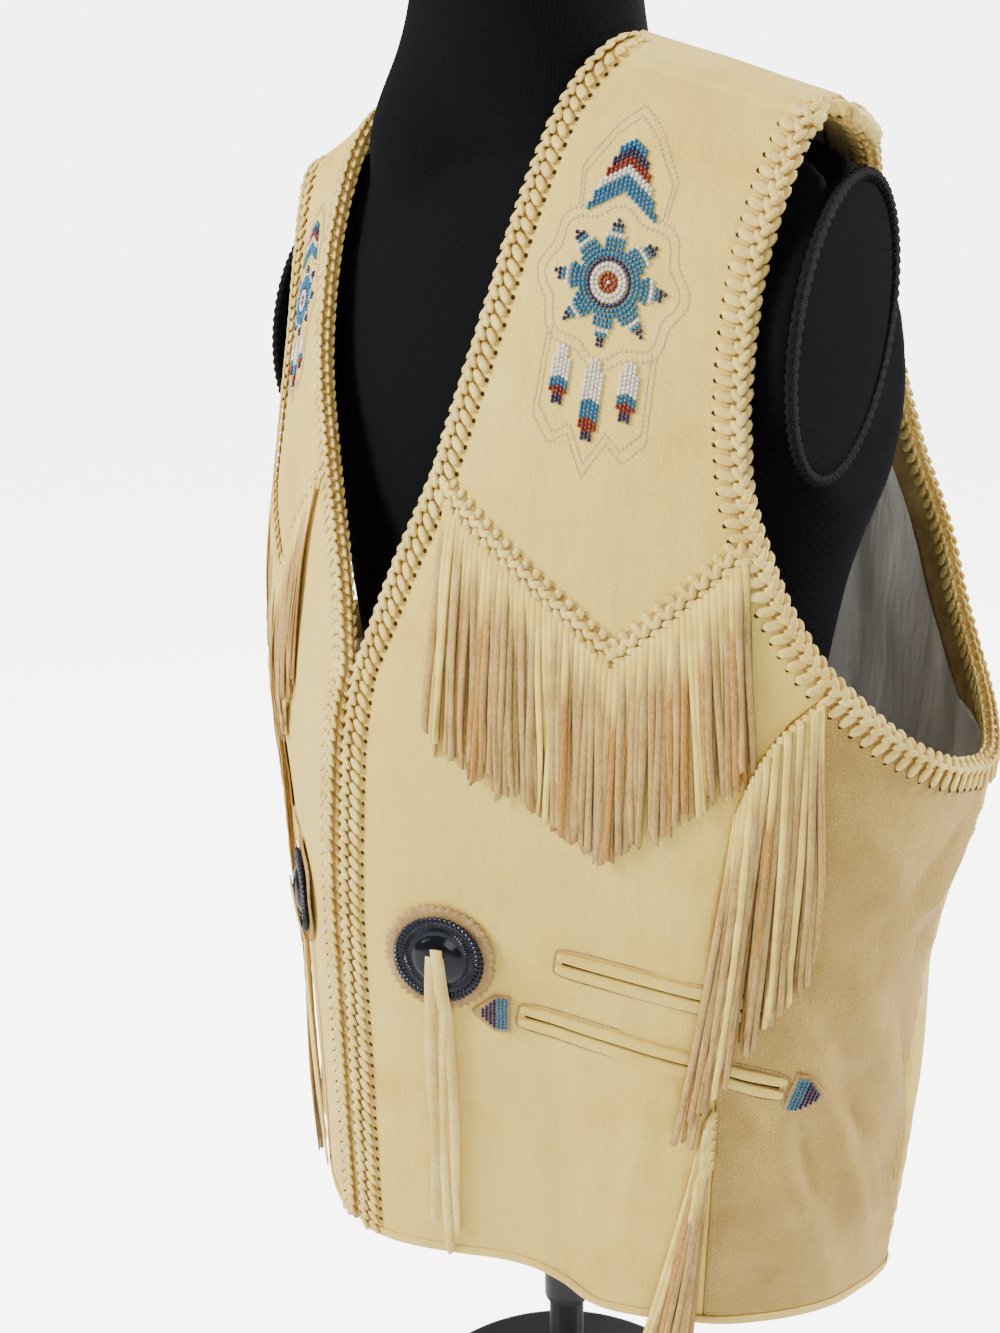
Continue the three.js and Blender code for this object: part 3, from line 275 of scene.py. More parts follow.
def unit(vectors):
    return vectors / np.maximum(np.linalg.norm(vectors, axis=-1, keepdims=True), 1e-12)


def surface_frame(places):
    """How the cloth runs per degree round and per millimetre up, and the unit direction out of it."""
    step = 0.5
    turn = np.array([step, 0.0])
    high = places.copy()
    high[..., 1] = np.minimum(places[..., 1] + step, RIDGE)
    low = high.copy()
    low[..., 1] -= 2 * step
    around = vest_surface(places + turn) - vest_surface(places - turn)
    up = vest_surface(high) - vest_surface(low)
    return around / (2 * step), up / (2 * step), unit(np.cross(around, up))


def on_vest(places, out=0.0):
    """Points on the folded cloth, or so many millimetres out of it."""
    normal = surface_frame(places)[2]
    return vest_surface(places) + normal * (np.asarray(out) + relief(places))[..., None]


def moved(places, moves):
    """The places reached by moves in millimetres along the cloth."""
    goal = vest_surface(places) + moves
    now = np.array(places, float)
    for _ in range(5):
        left = goal - vest_surface(now)
        around, up, _ = surface_frame(now)
        rr, ru, uu = (around * around).sum(-1), (around * up).sum(-1), (up * up).sum(-1)
        lr, lu = (left * around).sum(-1), (left * up).sum(-1)
        det = rr * uu - ru * ru
        now[..., 0] += (lr * uu - lu * ru) / det
        now[..., 1] = np.minimum(now[..., 1] + (lu * rr - lr * ru) / det, RIDGE)
    return now


def shifted(places, sideways, upwards):
    """Places moved round the cloth and up it, in millimetres."""
    around, up, _ = surface_frame(places)
    round_it = unit(around) * np.asarray(sideways)[..., None]
    up_it = unit(up) * np.asarray(upwards)[..., None]
    return moved(places, round_it + up_it)


def curve_through(rows):
    """241 places on a centripetal spline through a table of places."""
    points = np.array([(angle * MM_PER_DEGREE, height) for angle, height in rows], float)
    steps = np.linspace(0, 1, 241)
    if len(points) == 2:
        track = points[0] + (points[1] - points[0]) * steps[:, None]
    else:
        padded = np.vstack([2 * points[0] - points[1], points, 2 * points[-1] - points[-2]])
        track = []
        for t in steps:
            along = (len(points) - 1) * t
            i = min(int(along), len(points) - 2)
            w = along - i
            p0, p1, p2, p3 = padded[i : i + 4]
            d0, d1, d2 = (np.linalg.norm(b - a) ** 0.5 for a, b in ((p0, p1), (p1, p2), (p2, p3)))
            leaving = ((p1 - p0) / d0 - (p2 - p0) / (d0 + d1) + (p2 - p1) / d1) * d1
            arriving = ((p2 - p1) / d1 - (p3 - p1) / (d1 + d2) + (p3 - p2) / d2) * d1
            track.append(
                p1 + leaving * w + (-3 * p1 + 3 * p2 - 2 * leaving - arriving) * w * w
                + (2 * p1 - 2 * p2 + leaving + arriving) * w**3
            )
        track = np.array(track)
    return np.stack([track[:, 0] / MM_PER_DEGREE, np.minimum(track[:, 1], RIDGE)], -1)


class Edge:
    """A curve on the cloth that can be asked for places by the millimetre."""

    def __init__(self, *names, side=1):
        tables = CURVES if side > 0 else {**CURVES, **RIGHT_CURVES}
        parts = [curve_through(tables[name] if isinstance(name, str) else name) for name in names]
        track = np.vstack([part if i == 0 else part[1:] for i, part in enumerate(parts)])
        self.side = side
        self.track = track
        spots = vest_surface(track)
        gaps = np.linalg.norm(np.diff(spots, axis=0), axis=1)
        gaps[np.abs(np.diff(track[:, 0])) > 15] = 0.0
        self.lengths = np.concatenate([[0], np.cumsum(gaps)])
        self.length = self.lengths[-1]

    def places(self, distances):
        distances = np.asarray(distances, float)
        angle = np.interp(distances, self.lengths, self.track[:, 0])
        height = np.interp(distances, self.lengths, self.track[:, 1])
        return np.stack([angle * self.side, height], -1)

    def even(self, steps, start=0.0, end=0.0):
        return self.places(np.linspace(start, self.length - end, steps + 1))

    def frames(self, distances):
        """Along the edge, inwards in the cloth and out of it, at each distance."""
        distances = np.asarray(distances, float)
        before = vest_surface(self.places(np.maximum(distances - 2, 0)))
        after = vest_surface(self.places(np.minimum(distances + 2, self.length)))
        along = unit(after - before)
        places = self.places(distances)
        out = surface_frame(places)[2]
        inward = unit(np.cross(along, out)) * self.side
        return places, along, inward, out


def joined(*parts):
    return np.vstack([part if i == 0 else part[1:] for i, part in enumerate(parts)])


def patch(bottom, top, left, right):
    """A grid of places between four edges that share their corners."""
    u = np.linspace(0, 1, len(bottom))[None, :, None]
    v = np.linspace(0, 1, len(left))[:, None, None]
    ruled = (1 - v) * bottom[None] + v * top[None] + (1 - u) * left[:, None] + u * right[:, None]
    low = (1 - u) * bottom[0] + u * bottom[-1]
    high = (1 - u) * top[0] + u * top[-1]
    return ruled - (1 - v) * low - v * high


def with_border(grid, distance=1.1):
    """Adds a line of places close inside each border, so that the rim can be rounded."""
    for axis in (0, 1):
        grid = np.swapaxes(grid, 0, axis)
        for _ in range(2):
            gap = np.linalg.norm(vest_surface(grid[1]) - vest_surface(grid[0]), axis=-1)
            share = np.clip(distance / np.maximum(gap, 1e-6), 0, 0.5)[:, None]
            extra = grid[0] + (grid[1] - grid[0]) * share
            grid = np.concatenate([grid[:1], extra[None], grid[1:]])[::-1]
        grid = np.swapaxes(grid, 0, axis)
    return grid


def parted(grid, distance):
    """Pulls the border of a grid in, so that neighbours are parted at their seam."""
    grid = grid.copy()
    for axis in (0, 1):
        view = np.swapaxes(grid, 0, axis)
        for a, b in ((0, 1), (-1, -2)):
            near = np.zeros(len(view[a]))
            far = np.full(len(view[a]), 0.45)
            start = vest_surface(view[a])
            for _ in range(14):
                middle = (near + far) / 2
                spot = vest_surface(view[a] + (view[b] - view[a]) * middle[:, None])
                is_short = np.linalg.norm(spot - start, axis=-1) < distance
                near, far = np.where(is_short, middle, near), np.where(is_short, far, middle)
            view[a] = view[a] + (view[b] - view[a]) * near[:, None]
    return grid


# ---- Meshes ----


def write_attributes(mesh, attributes):
    """Values or colours given point by point."""
    for key, values in (attributes or {}).items():
        values = np.asarray(values, float)
        kind = "FLOAT" if values.ndim == 1 else "FLOAT_COLOR"
        layer = mesh.attributes.new(key, kind, "POINT")
        layer.data.foreach_set("value" if kind == "FLOAT" else "color", values.ravel())


def object_from(name, points, faces, attributes=None, uv=None):
    """A mesh object in metres, with faces turned outwards."""
    points = np.asarray(points, float).reshape(-1, 3) * 0.001
    faces = [np.asarray(block, int) for block in (faces if isinstance(faces, list) else [faces])]
    mesh = bpy.data.meshes.new(name)
    volume = 0.0
    for block in faces:
        for k in range(2, block.shape[1]):
            a, b, c = points[block[:, 0]], points[block[:, k - 1]], points[block[:, k]]
            volume += (a * np.cross(b, c)).sum()
    if volume < 0:
        faces = [block[:, ::-1] for block in faces]
    corners = np.concatenate([block.ravel() for block in faces])
    sizes = np.concatenate([np.full(len(block), block.shape[1]) for block in faces])
    mesh.vertices.add(len(points))
    mesh.vertices.foreach_set("co", points.ravel())
    mesh.loops.add(len(corners))
    mesh.loops.foreach_set("vertex_index", corners)
    mesh.polygons.add(len(sizes))
    mesh.polygons.foreach_set("loop_start", np.concatenate([[0], np.cumsum(sizes)[:-1]]))
    mesh.polygons.foreach_set("use_smooth", np.ones(len(sizes), bool))
    mesh.update(calc_edges=True)
    write_attributes(mesh, attributes)
    if uv is not None:
        layer = mesh.uv_layers.new(name="UVMap")
        layer.data.foreach_set("uv", np.asarray(uv, float)[corners].ravel())
    mesh.validate()
    piece = bpy.data.objects.new(name, mesh)
    bpy.context.scene.collection.objects.link(piece)
    return piece


def give(piece, finish, slot, *nodes):
    """Finishes a piece: material, body and the solids that it stands for. The slot is not used."""
    if finish is not None:
        piece.data.materials.clear()
        piece.data.materials.append(finish)
    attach(piece, "root")
    if nodes:
        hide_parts(*nodes)
    return piece


def grid_faces(rows, columns, base=0, wrap=False):
    j, i = np.meshgrid(np.arange(rows - 1), np.arange(columns - (0 if wrap else 1)), indexing="ij")
    k = (i + 1) % columns
    quads = [j * columns + i, j * columns + k, (j + 1) * columns + k, (j + 1) * columns + i]
    return np.stack(quads, -1).reshape(-1, 4) + base


def shell_piece(name, inner, outer, attributes=None, uv=None):
    """A closed wall between two grids of points."""
    rows, columns = inner.shape[:2]
    count = rows * columns
    index = np.arange(count).reshape(rows, columns)
    border = np.concatenate([index[0, :-1], index[:-1, -1], index[-1, :0:-1], index[:0:-1, 0]])
    after = np.roll(border, -1)
    faces = np.concatenate([
        grid_faces(rows, columns, count),
        grid_faces(rows, columns)[:, ::-1],
        np.stack([border, after, after + count, border + count], -1),
    ])
    points = np.concatenate([inner.reshape(-1, 3), outer.reshape(-1, 3)])
    doubled = {key: np.concatenate([value.reshape(-1)] * 2) for key, value in (attributes or {}).items()}
    if uv is not None:
        uv = np.concatenate([uv.reshape(-1, 2)] * 2)
    return object_from(name, points, faces, doubled, uv)


def cloth_uv(grid):
    """Flat lengths round and up the cloth, in metres, for finishes that follow it."""
    spots = vest_surface(grid) * 0.001
    gaps = np.linalg.norm(np.diff(spots, axis=1), axis=-1)
    across = np.pad(np.cumsum(gaps, 1), ((0, 0), (1, 0)))
    gaps = np.linalg.norm(np.diff(spots, axis=0), axis=-1)
    rise = np.pad(np.cumsum(gaps, 0), ((1, 0), (0, 0)))
    middle = grid.shape[1] // 2
    return np.stack([across - across[:, middle : middle + 1], rise], -1)


def cut_of(grid):
    """The piece's flat cut: width, length and area in metres."""
    spots = vest_surface(grid) * 0.001
    width = np.linalg.norm(np.diff(spots, axis=1), axis=-1).sum(1).max()
    length = np.linalg.norm(np.diff(spots, axis=0), axis=-1).sum(0).max()
    one = np.cross(spots[1:, 1:] - spots[:-1, :-1], spots[1:, :-1] - spots[:-1, 1:])
    area = np.linalg.norm(one, axis=-1).sum() / 2
    return width, length, area


def tube_piece(name, rings, attributes=None, closed=False):
    """A tube through rings of points, with flat ends unless it closes on itself."""
    rings = np.asarray(rings)
    count, sides = rings.shape[:2]
    quads = grid_faces(count, sides, wrap=True)
    if closed:
        i = np.arange(sides)
        k = (i + 1) % sides
        last = (count - 1) * sides
        quads = np.concatenate([quads, np.stack([last + i, last + k, k, i], -1)])
        return object_from(name, rings, quads, attributes)
    first = np.arange(sides)[::-1][None]
    end = (np.arange(sides) + (count - 1) * sides)[None]
    return object_from(name, rings, [quads, first, end], attributes)


def merged(name, pieces):
    """Several mesh objects joined into one."""
    with bpy.context.temp_override(
        active_object=pieces[0], object=pieces[0], selected_objects=pieces, selected_editable_objects=pieces
    ):
        bpy.ops.object.join()
    pieces[0].name = name
    pieces[0].data.name = name
    return pieces[0]


def euler_from(x_axis, y_axis, z_axis):
    """XYZ turns of frames whose columns are the three axes."""
    y_turn = np.arcsin(np.clip(-x_axis[:, 2], -1, 1))
    x_turn = np.arctan2(y_axis[:, 2], z_axis[:, 2])
    z_turn = np.arctan2(x_axis[:, 1], x_axis[:, 0])
    return np.stack([x_turn, y_turn, z_turn], -1)


def repeat_tree():
    """The node tree that puts a small shape on each place, turned and stretched as the place says."""
    name = "Repeat on places"
    if name in bpy.data.node_groups:
        return bpy.data.node_groups[name]
    tree = bpy.data.node_groups.new(name, "GeometryNodeTree")
    tree.interface.new_socket(name="Places", in_out="INPUT", socket_type="NodeSocketGeometry")
    for label, kind in (("Shape", "Object"), ("Size", "Float"), ("Finish", "Material")):
        tree.interface.new_socket(name=label, in_out="INPUT", socket_type=f"NodeSocket{kind}")
    tree.interface.new_socket(name="Pieces", in_out="OUTPUT", socket_type="NodeSocketGeometry")
    nodes, links = tree.nodes, tree.links
    given = nodes.new("NodeGroupInput")
    result = nodes.new("NodeGroupOutput")
    shape = nodes.new("GeometryNodeObjectInfo")
    instance = nodes.new("GeometryNodeInstanceOnPoints")
    turn = nodes.new("GeometryNodeInputNamedAttribute")
    turn.data_type = "FLOAT_VECTOR"
    turn.inputs["Name"].default_value = "turn"
    rotation = nodes.new("FunctionNodeEulerToRotation")
    stretch = nodes.new("GeometryNodeInputNamedAttribute")
    stretch.data_type = "FLOAT_VECTOR"
    stretch.inputs["Name"].default_value = "stretch"
    scale = nodes.new("ShaderNodeVectorMath")
    scale.operation = "SCALE"
    realize = nodes.new("GeometryNodeRealizeInstances")
    finish = nodes.new("GeometryNodeSetMaterial")
    links.new(given.outputs["Shape"], shape.inputs["Object"])
    links.new(given.outputs["Places"], instance.inputs["Points"])
    links.new(shape.outputs["Geometry"], instance.inputs["Instance"])
    links.new(turn.outputs[0], rotation.inputs[0])
    links.new(rotation.outputs[0], instance.inputs["Rotation"])
    links.new(stretch.outputs[0], scale.inputs[0])
    links.new(given.outputs["Size"], scale.inputs["Scale"])
    links.new(scale.outputs[0], instance.inputs["Scale"])
    links.new(instance.outputs[0], realize.inputs[0])
    links.new(realize.outputs[0], finish.inputs["Geometry"])
    links.new(given.outputs["Finish"], finish.inputs["Material"])
    links.new(finish.outputs[0], result.inputs[0])
    return tree


def repeated(name, shape, spots, x_axis, z_axis, finish, size=1.0, stretch=None, attributes=None):
    """Copies of a small shape at spots, as one plain mesh. The shape's X and Z follow the two axes."""
    spots = np.asarray(spots, float)
    z_axis = unit(np.asarray(z_axis, float))
    y_axis = unit(np.cross(z_axis, x_axis))
    x_axis = np.cross(y_axis, z_axis)
    mesh = bpy.data.meshes.new(name)
    mesh.vertices.add(len(spots))
    mesh.vertices.foreach_set("co", (spots * 0.001).ravel())
    for key, values in (("turn", euler_from(x_axis, y_axis, z_axis)), ("stretch", stretch)):
        values = np.ones((len(spots), 3)) if values is None else np.asarray(values, float)
        layer = mesh.attributes.new(key, "FLOAT_VECTOR", "POINT")
        layer.data.foreach_set("vector", values.ravel())
    write_attributes(mesh, attributes)
    places = bpy.data.objects.new(name, mesh)
    bpy.context.scene.collection.objects.link(places)
    tree = repeat_tree()
    modifier = places.modifiers.new("Repeat", "NODES")
    modifier.node_group = tree
    sockets = {item.name: item.identifier for item in tree.interface.items_tree if item.in_out == "INPUT"}
    modifier[sockets["Shape"]] = shape
    modifier[sockets["Size"]] = float(size)
    modifier[sockets["Finish"]] = finish
    graph = bpy.context.evaluated_depsgraph_get()
    result = bpy.data.meshes.new_from_object(places.evaluated_get(graph))
    places.modifiers.clear()
    places.data = result
    bpy.data.meshes.remove(mesh)
    for key in ("turn", "stretch"):
        layer = result.attributes.get(key)
        if layer is not None:
            result.attributes.remove(layer)
    result.name = name
    return places


def small_shape(name, length, width, thickness, around=8, along=6, point=0.6, flat=0.0):
    """A small closed bar along X: pointed or rounded ends, domed top, for loops, leaves and stitches."""
    rings = []
    for s in np.linspace(-1, 1, along + 1)[1:-1]:
        swell = (1 - abs(s) ** 2.2) ** point
        turn = np.linspace(0, 2 * np.pi, around, endpoint=False)
        y = np.cos(turn) * swell * width / 2
        z = np.sin(turn) * (swell**0.5) * thickness / 2
        z = np.where(z < 0, z * (1 - flat), z)
        rings.append(np.stack([np.full(around, s * length / 2), y, z], -1))
    rings = np.array(rings)
    points = np.concatenate([rings.reshape(-1, 3), [[-length / 2, 0, 0], [length / 2, 0, 0]]])
    quads = grid_faces(len(rings), around, wrap=True)
    i = np.arange(around)
    k = (i + 1) % around
    last = (len(rings) - 1) * around
    tips = np.concatenate([
        np.stack([np.full(around, len(points) - 2), k, i], -1),
        np.stack([np.full(around, len(points) - 1), last + i, last + k], -1),
    ])
    return object_from(name, points, [quads, tips])


def drop(*shapes):
    for shape in shapes:
        mesh = shape.data
        bpy.data.objects.remove(shape)
        bpy.data.meshes.remove(mesh)


# ---- Finishes ----


def colour(red, green, blue):
    """A display colour from 0 to 255, as linear light."""
    values = [v / 255 for v in (red, green, blue)]
    return tuple(v / 12.92 if v <= 0.04045 else ((v + 0.055) / 1.055) ** 2.4 for v in values) + (1.0,)


class Finish:
    """A material in the making. Each call adds a node and hands back its output."""

    def __init__(self, name, **constants):
        self.material = bpy.data.materials.new(name)
        self.material.use_nodes = True
        self.nodes = self.material.node_tree.nodes
        self.links = self.material.node_tree.links
        self.shader = self.nodes["Principled BSDF"]
        self.place = self.nodes.new("ShaderNodeTexCoord").outputs["Object"]
        self.set(**constants)

    def put(self, socket, value):
        if isinstance(value, bpy.types.NodeSocket):
            self.links.new(value, socket)
        else:
            socket.default_value = value

    def set(self, **values):
        for key, value in values.items():
            self.put(self.shader.inputs[key.replace("_", " ")], value)
        return self

    def uv(self):
        return self.nodes.new("ShaderNodeUVMap").outputs[0]

    def attribute(self, name, is_colour=False):
        node = self.nodes.new("ShaderNodeAttribute")
        node.attribute_name = name
        return node.outputs["Color" if is_colour else "Fac"]

    def stretched(self, vector, scale, turn=(0, 0, 0)):
        node = self.nodes.new("ShaderNodeMapping")
        self.put(node.inputs["Vector"], vector)
        node.inputs["Scale"].default_value = scale
        node.inputs["Rotation"].default_value = turn
        return node.outputs[0]

    def noise(self, scale, detail=3.0, rough=0.5, vector=None, distortion=0.0):
        node = self.nodes.new("ShaderNodeTexNoise")
        self.put(node.inputs["Vector"], vector or self.place)
        values = {"Scale": scale, "Detail": detail, "Roughness": rough, "Distortion": distortion}
        for key, value in values.items():
            node.inputs[key].default_value = value
        return node.outputs["Fac"]

    def cells(self, scale, feature="F1", vector=None, randomness=1.0):
        node = self.nodes.new("ShaderNodeTexVoronoi")
        node.feature = feature
        self.put(node.inputs["Vector"], vector or self.place)
        node.inputs["Scale"].default_value = scale
        node.inputs["Randomness"].default_value = randomness
        return node.outputs["Distance"]

    def wave(self, scale, vector=None, direction="X", distortion=0.0, profile="SIN"):
        node = self.nodes.new("ShaderNodeTexWave")
        node.bands_direction = direction
        node.wave_profile = profile
        self.put(node.inputs["Vector"], vector or self.place)
        node.inputs["Scale"].default_value = scale
        node.inputs["Distortion"].default_value = distortion
        node.inputs["Detail Scale"].default_value = 2.0
        return node.outputs["Fac"]

    def ramp(self, value, *stops):
        node = self.nodes.new("ShaderNodeValToRGB")
        self.put(node.inputs[0], value)
        elements = node.color_ramp.elements
        while len(elements) < len(stops):
            elements.new(0.5)
        for element, (position, tint) in zip(elements, stops):
            element.position = position
            element.color = tint if isinstance(tint, tuple) else (tint, tint, tint, 1)
        return node.outputs[0]

    def sum(self, operation, first, second=0.0, third=0.0):
        node = self.nodes.new("ShaderNodeMath")
        node.operation = operation
        for socket, value in zip(node.inputs, (first, second, third)):
            self.put(socket, value)
        return node.outputs[0]

    def mix(self, share, first, second, blend="MIX"):
        node = self.nodes.new("ShaderNodeMix")
        node.data_type = "RGBA"
        node.blend_type = blend
        for socket, value in zip((node.inputs[0], node.inputs[6], node.inputs[7]), (share, first, second)):
            self.put(socket, value)
        return node.outputs[2]

    def corners(self):
        """How far the shape folds in (under 0.5) or sticks out (over 0.5), for painted shade in hollows and
        worn rims.
        """
        node = self.nodes.new("ShaderNodeNewGeometry")
        return node.outputs["Pointiness"]

    def bumps(self, *layers):
        """Stacked relief: pairs of a height and its depth in metres."""
        normal = None
        for height, depth in layers:
            node = self.nodes.new("ShaderNodeBump")
            self.put(node.inputs["Height"], height)
            node.inputs["Distance"].default_value = depth
            node.inputs["Strength"].default_value = 1.0
            if normal is not None:
                self.links.new(normal, node.inputs["Normal"])
            normal = node.outputs[0]
        return self.set(Normal=normal)


FINISHES = {}


def finish(name):
    """The finish of that name, made once."""
    if name not in FINISHES:
        FINISHES[name] = MAKERS[name]().material
        FINISHES[name].name = name
    return FINISHES[name]


def grain_leather(name, pale, mid, deep, pebble, pebble_depth, pull_depth):
    """Smooth leather with a pebbled grain, pores and soft pulls. Depths are in metres."""
    look = Finish(name, Specular_IOR_Level=0.32, Sheen_Weight=0.12, Sheen_Roughness=0.5)
    cloud = look.noise(9, 4, 0.55)
    drift = look.noise(31, 3, 0.5)
    blotch = look.sum("MULTIPLY_ADD", drift, 0.45, look.sum("MULTIPLY", cloud, 0.6))
    tint = look.ramp(blotch, (0.27, deep), (0.5, mid), (0.72, pale))
    pores = look.cells(pebble, "DISTANCE_TO_EDGE")
    fine = look.cells(pebble * 2.7, "F1")
    speck = look.noise(1500, 2, 0.6)
    tint = look.mix(look.ramp(pores, (0.0, 0.42), (0.09, 0.0)), tint, deep)
    tint = look.mix(look.ramp(speck, (0.44, 0.2), (0.56, 0.0)), tint, deep)
    # Painted shade: where the leather folds in it darkens towards the deep tone; where it sticks out it turns
    # paler, as worn rims do.
    hollow_shade_and_wear = look.ramp(look.corners(), (0.47, 0.35), (0.5, 0.0), (0.55, 0.0), (0.62, 0.3))
    rub = look.ramp(look.corners(), (0.5, deep), (0.54, pale))
    tint = look.mix(hollow_shade_and_wear, tint, rub)
    look.set(Base_Color=tint, Roughness=look.ramp(look.noise(55, 3), (0.3, 0.5), (0.7, 0.68)))
    pull = look.noise(42, 3, 0.55, look.stretched(look.place, (1, 1, 0.35), (0, 0, 0.5)))
    return look.bumps(
        (pull, pull_depth),
        (look.ramp(pores, (0.0, 0.0), (0.16, 1.0)), pebble_depth),
        (fine, pebble_depth * 0.5),
    )


def cream_leather():
    return grain_leather(
        "cream_leather", colour(253, 228, 124), colour(246, 216, 106), colour(220, 178, 72),
        pebble=620, pebble_depth=0.00016, pull_depth=0.003,
    )


# Painted shade: the same leather as the cream panels in darker tones, for the side that lies in shade; its
# stronger pebble and pulls are its own grain.
def side_leather():
    return grain_leather(
        "side_leather", colour(228, 194, 104), colour(206, 170, 84), colour(170, 130, 56),
        pebble=470, pebble_depth=0.0003, pull_depth=0.0055,
    )


def suede(name, pale, mid, deep):
    """Napped suede with short fibres."""
    look = Finish(name, Specular_IOR_Level=0.12, Roughness=0.95, Sheen_Weight=0.18, Sheen_Roughness=0.6)
    cloud = look.noise(60, 4, 0.6)
    fibres = look.noise(900, 3, 0.7)
    mixed = look.sum("MULTIPLY_ADD", fibres, 0.5, look.sum("MULTIPLY", cloud, 0.5))
    tint = look.ramp(mixed, (0.36, deep), (0.5, mid), (0.64, pale))
    look.set(Base_Color=tint, Sheen_Tint=pale)
    return look, fibres, cloud


def facing_suede():
    tints = colour(192, 166, 108), colour(166, 140, 86), colour(132, 108, 62)
    look, fibres, cloud = suede("facing_suede", *tints)
    return look.bumps((cloud, 0.0006), (fibres, 0.00022))


def tab_suede():
    tints = colour(200, 170, 118), colour(176, 144, 94), colour(140, 108, 66)
    look, fibres, cloud = suede("tab_suede", *tints)
    return look.bumps((cloud, 0.0005), (fibres, 0.0002))


def fringe_suede():
    """Fringe strips: `tone` shifts a whole strip and `grain` goes from its root to its tip."""
    look = Finish("fringe_suede", Specular_IOR_Level=0.14, Sheen_Weight=0.1, Sheen_Roughness=0.6)
    grain, tone = look.attribute("grain"), look.attribute("tone")
    ribbon = look.uv()
    fibres = look.noise(1, 3, 0.7, look.stretched(look.place, (1500, 1500, 320)))
    cloud = look.noise(70, 3, 0.55)
    cream = look.ramp(cloud, (0.4, colour(234, 202, 98)), (0.62, colour(250, 224, 120)))
    tan = look.ramp(
        look.sum("MULTIPLY_ADD", fibres, 0.6, look.sum("MULTIPLY", cloud, 0.4)),
        (0.3, colour(150, 116, 58)), (0.5, colour(194, 160, 94)), (0.7, colour(222, 192, 124)),
    )
    ochre = look.ramp(fibres, (0.36, colour(164, 110, 38)), (0.64, colour(206, 154, 72)))
    is_ochre = look.ramp(look.sum("ADD", tone, look.sum("MULTIPLY", cloud, 0.3)), (0.75, 0.0), (1.0, 0.85))
    tan = look.mix(is_ochre, tan, ochre)
    place = look.sum("ADD", grain, look.sum("MULTIPLY", tone, -0.28))
    napped = look.ramp(look.sum("ADD", place, look.sum("MULTIPLY", cloud, 0.22)), (0.05, 0.0), (0.2, 1.0))
    napped = look.sum("MULTIPLY", napped, look.ramp(tone, (0.13, 0.0), (0.17, 1.0)))
    tint = look.mix(napped, cream, tan)
    across = look.nodes.new("ShaderNodeSeparateXYZ")
    look.put(across.inputs[0], ribbon)
    # Painted shade: each strip darkens to brown along its two long edges, for the shade in the cuts between
    # the strips.
    rim = look.sum("ABSOLUTE", across.outputs[0])
    tint = look.mix(look.ramp(rim, (0.78, 0.0), (0.98, 0.75)), tint, colour(128, 92, 52))
    look.set(Base_Color=tint, Roughness=look.ramp(napped, (0.0, 0.6), (1.0, 0.95)))
    return look.bumps((look.sum("MULTIPLY", fibres, napped), 0.0004), (cloud, 0.0006))


def lace_leather():
    look = Finish("lace_leather", Specular_IOR_Level=0.4, Sheen_Weight=0.08)
    tone = look.attribute("tone")
    cloud = look.noise(40, 3, 0.5)
    tint = look.ramp(cloud, (0.4, colour(236, 206, 106)), (0.6, colour(252, 230, 134)))
    tint = look.mix(look.sum("MULTIPLY", tone, 0.35), tint, colour(196, 160, 84))
    streak = look.noise(700, 2, 0.6)
    tint = look.mix(look.ramp(streak, (0.42, 0.28), (0.56, 0.0)), tint, colour(176, 138, 66))
    # Painted shade: the loops darken to brown where they fold in.
    fold_shade = look.ramp(look.corners(), (0.44, 0.75), (0.5, 0.0))
    tint = look.mix(fold_shade, tint, colour(130, 92, 40))
    look.set(Base_Color=tint, Roughness=look.ramp(cloud, (0.4, 0.42), (0.6, 0.58)))
    return look.bumps((look.noise(260, 3), 0.0003), (streak, 0.00006))


# Painted shade: a darker tan for the core and the bands under the lace loops, seen in the gaps where the
# braid shades itself.
def lace_ground():
    look = Finish("lace_ground", Roughness=0.85, Specular_IOR_Level=0.2)
    patches = look.noise(420, 3, 0.6)
    look.set(Base_Color=look.ramp(patches, (0.36, colour(150, 112, 52)), (0.64, colour(208, 172, 94))))
    return look.bumps((patches, 0.0004))


# Painted shade: a dark brown finish that stands for the shade inside the lace holes and the pocket openings.
def dark_hole():
    look = Finish("dark_hole", Roughness=0.95, Specular_IOR_Level=0.05)
    patches = look.noise(900, 2)
    look.set(Base_Color=look.ramp(patches, (0.3, colour(44, 28, 14)), (0.7, colour(84, 58, 32))))
    return look.bumps((patches, 0.0002))


def satin():
    look = Finish("satin", Specular_IOR_Level=0.5, Sheen_Weight=0.15, Sheen_Roughness=0.35)
    ways = look.uv()
    threads = look.wave(1, look.stretched(ways, (2600, 60, 1)), "X")
    drift = look.noise(16, 3, 0.5, look.stretched(look.place, (1, 1, 0.3)))
    tint = look.ramp(
        drift, (0.36, colour(196, 188, 174)), (0.5, colour(220, 213, 201)), (0.64, colour(240, 235, 225))
    )
    tint = look.mix(look.ramp(threads, (0.2, 0.12), (0.8, 0.0)), tint, colour(110, 104, 98))
    look.set(Base_Color=tint, Roughness=look.ramp(drift, (0.3, 0.26), (0.7, 0.4)), Anisotropic=0.5)
    crease = look.noise(30, 4, 0.55, look.stretched(look.place, (1, 1, 0.22), (0.1, 0.05, 0)))
    return look.bumps((crease, 0.007), (threads, 0.00002))


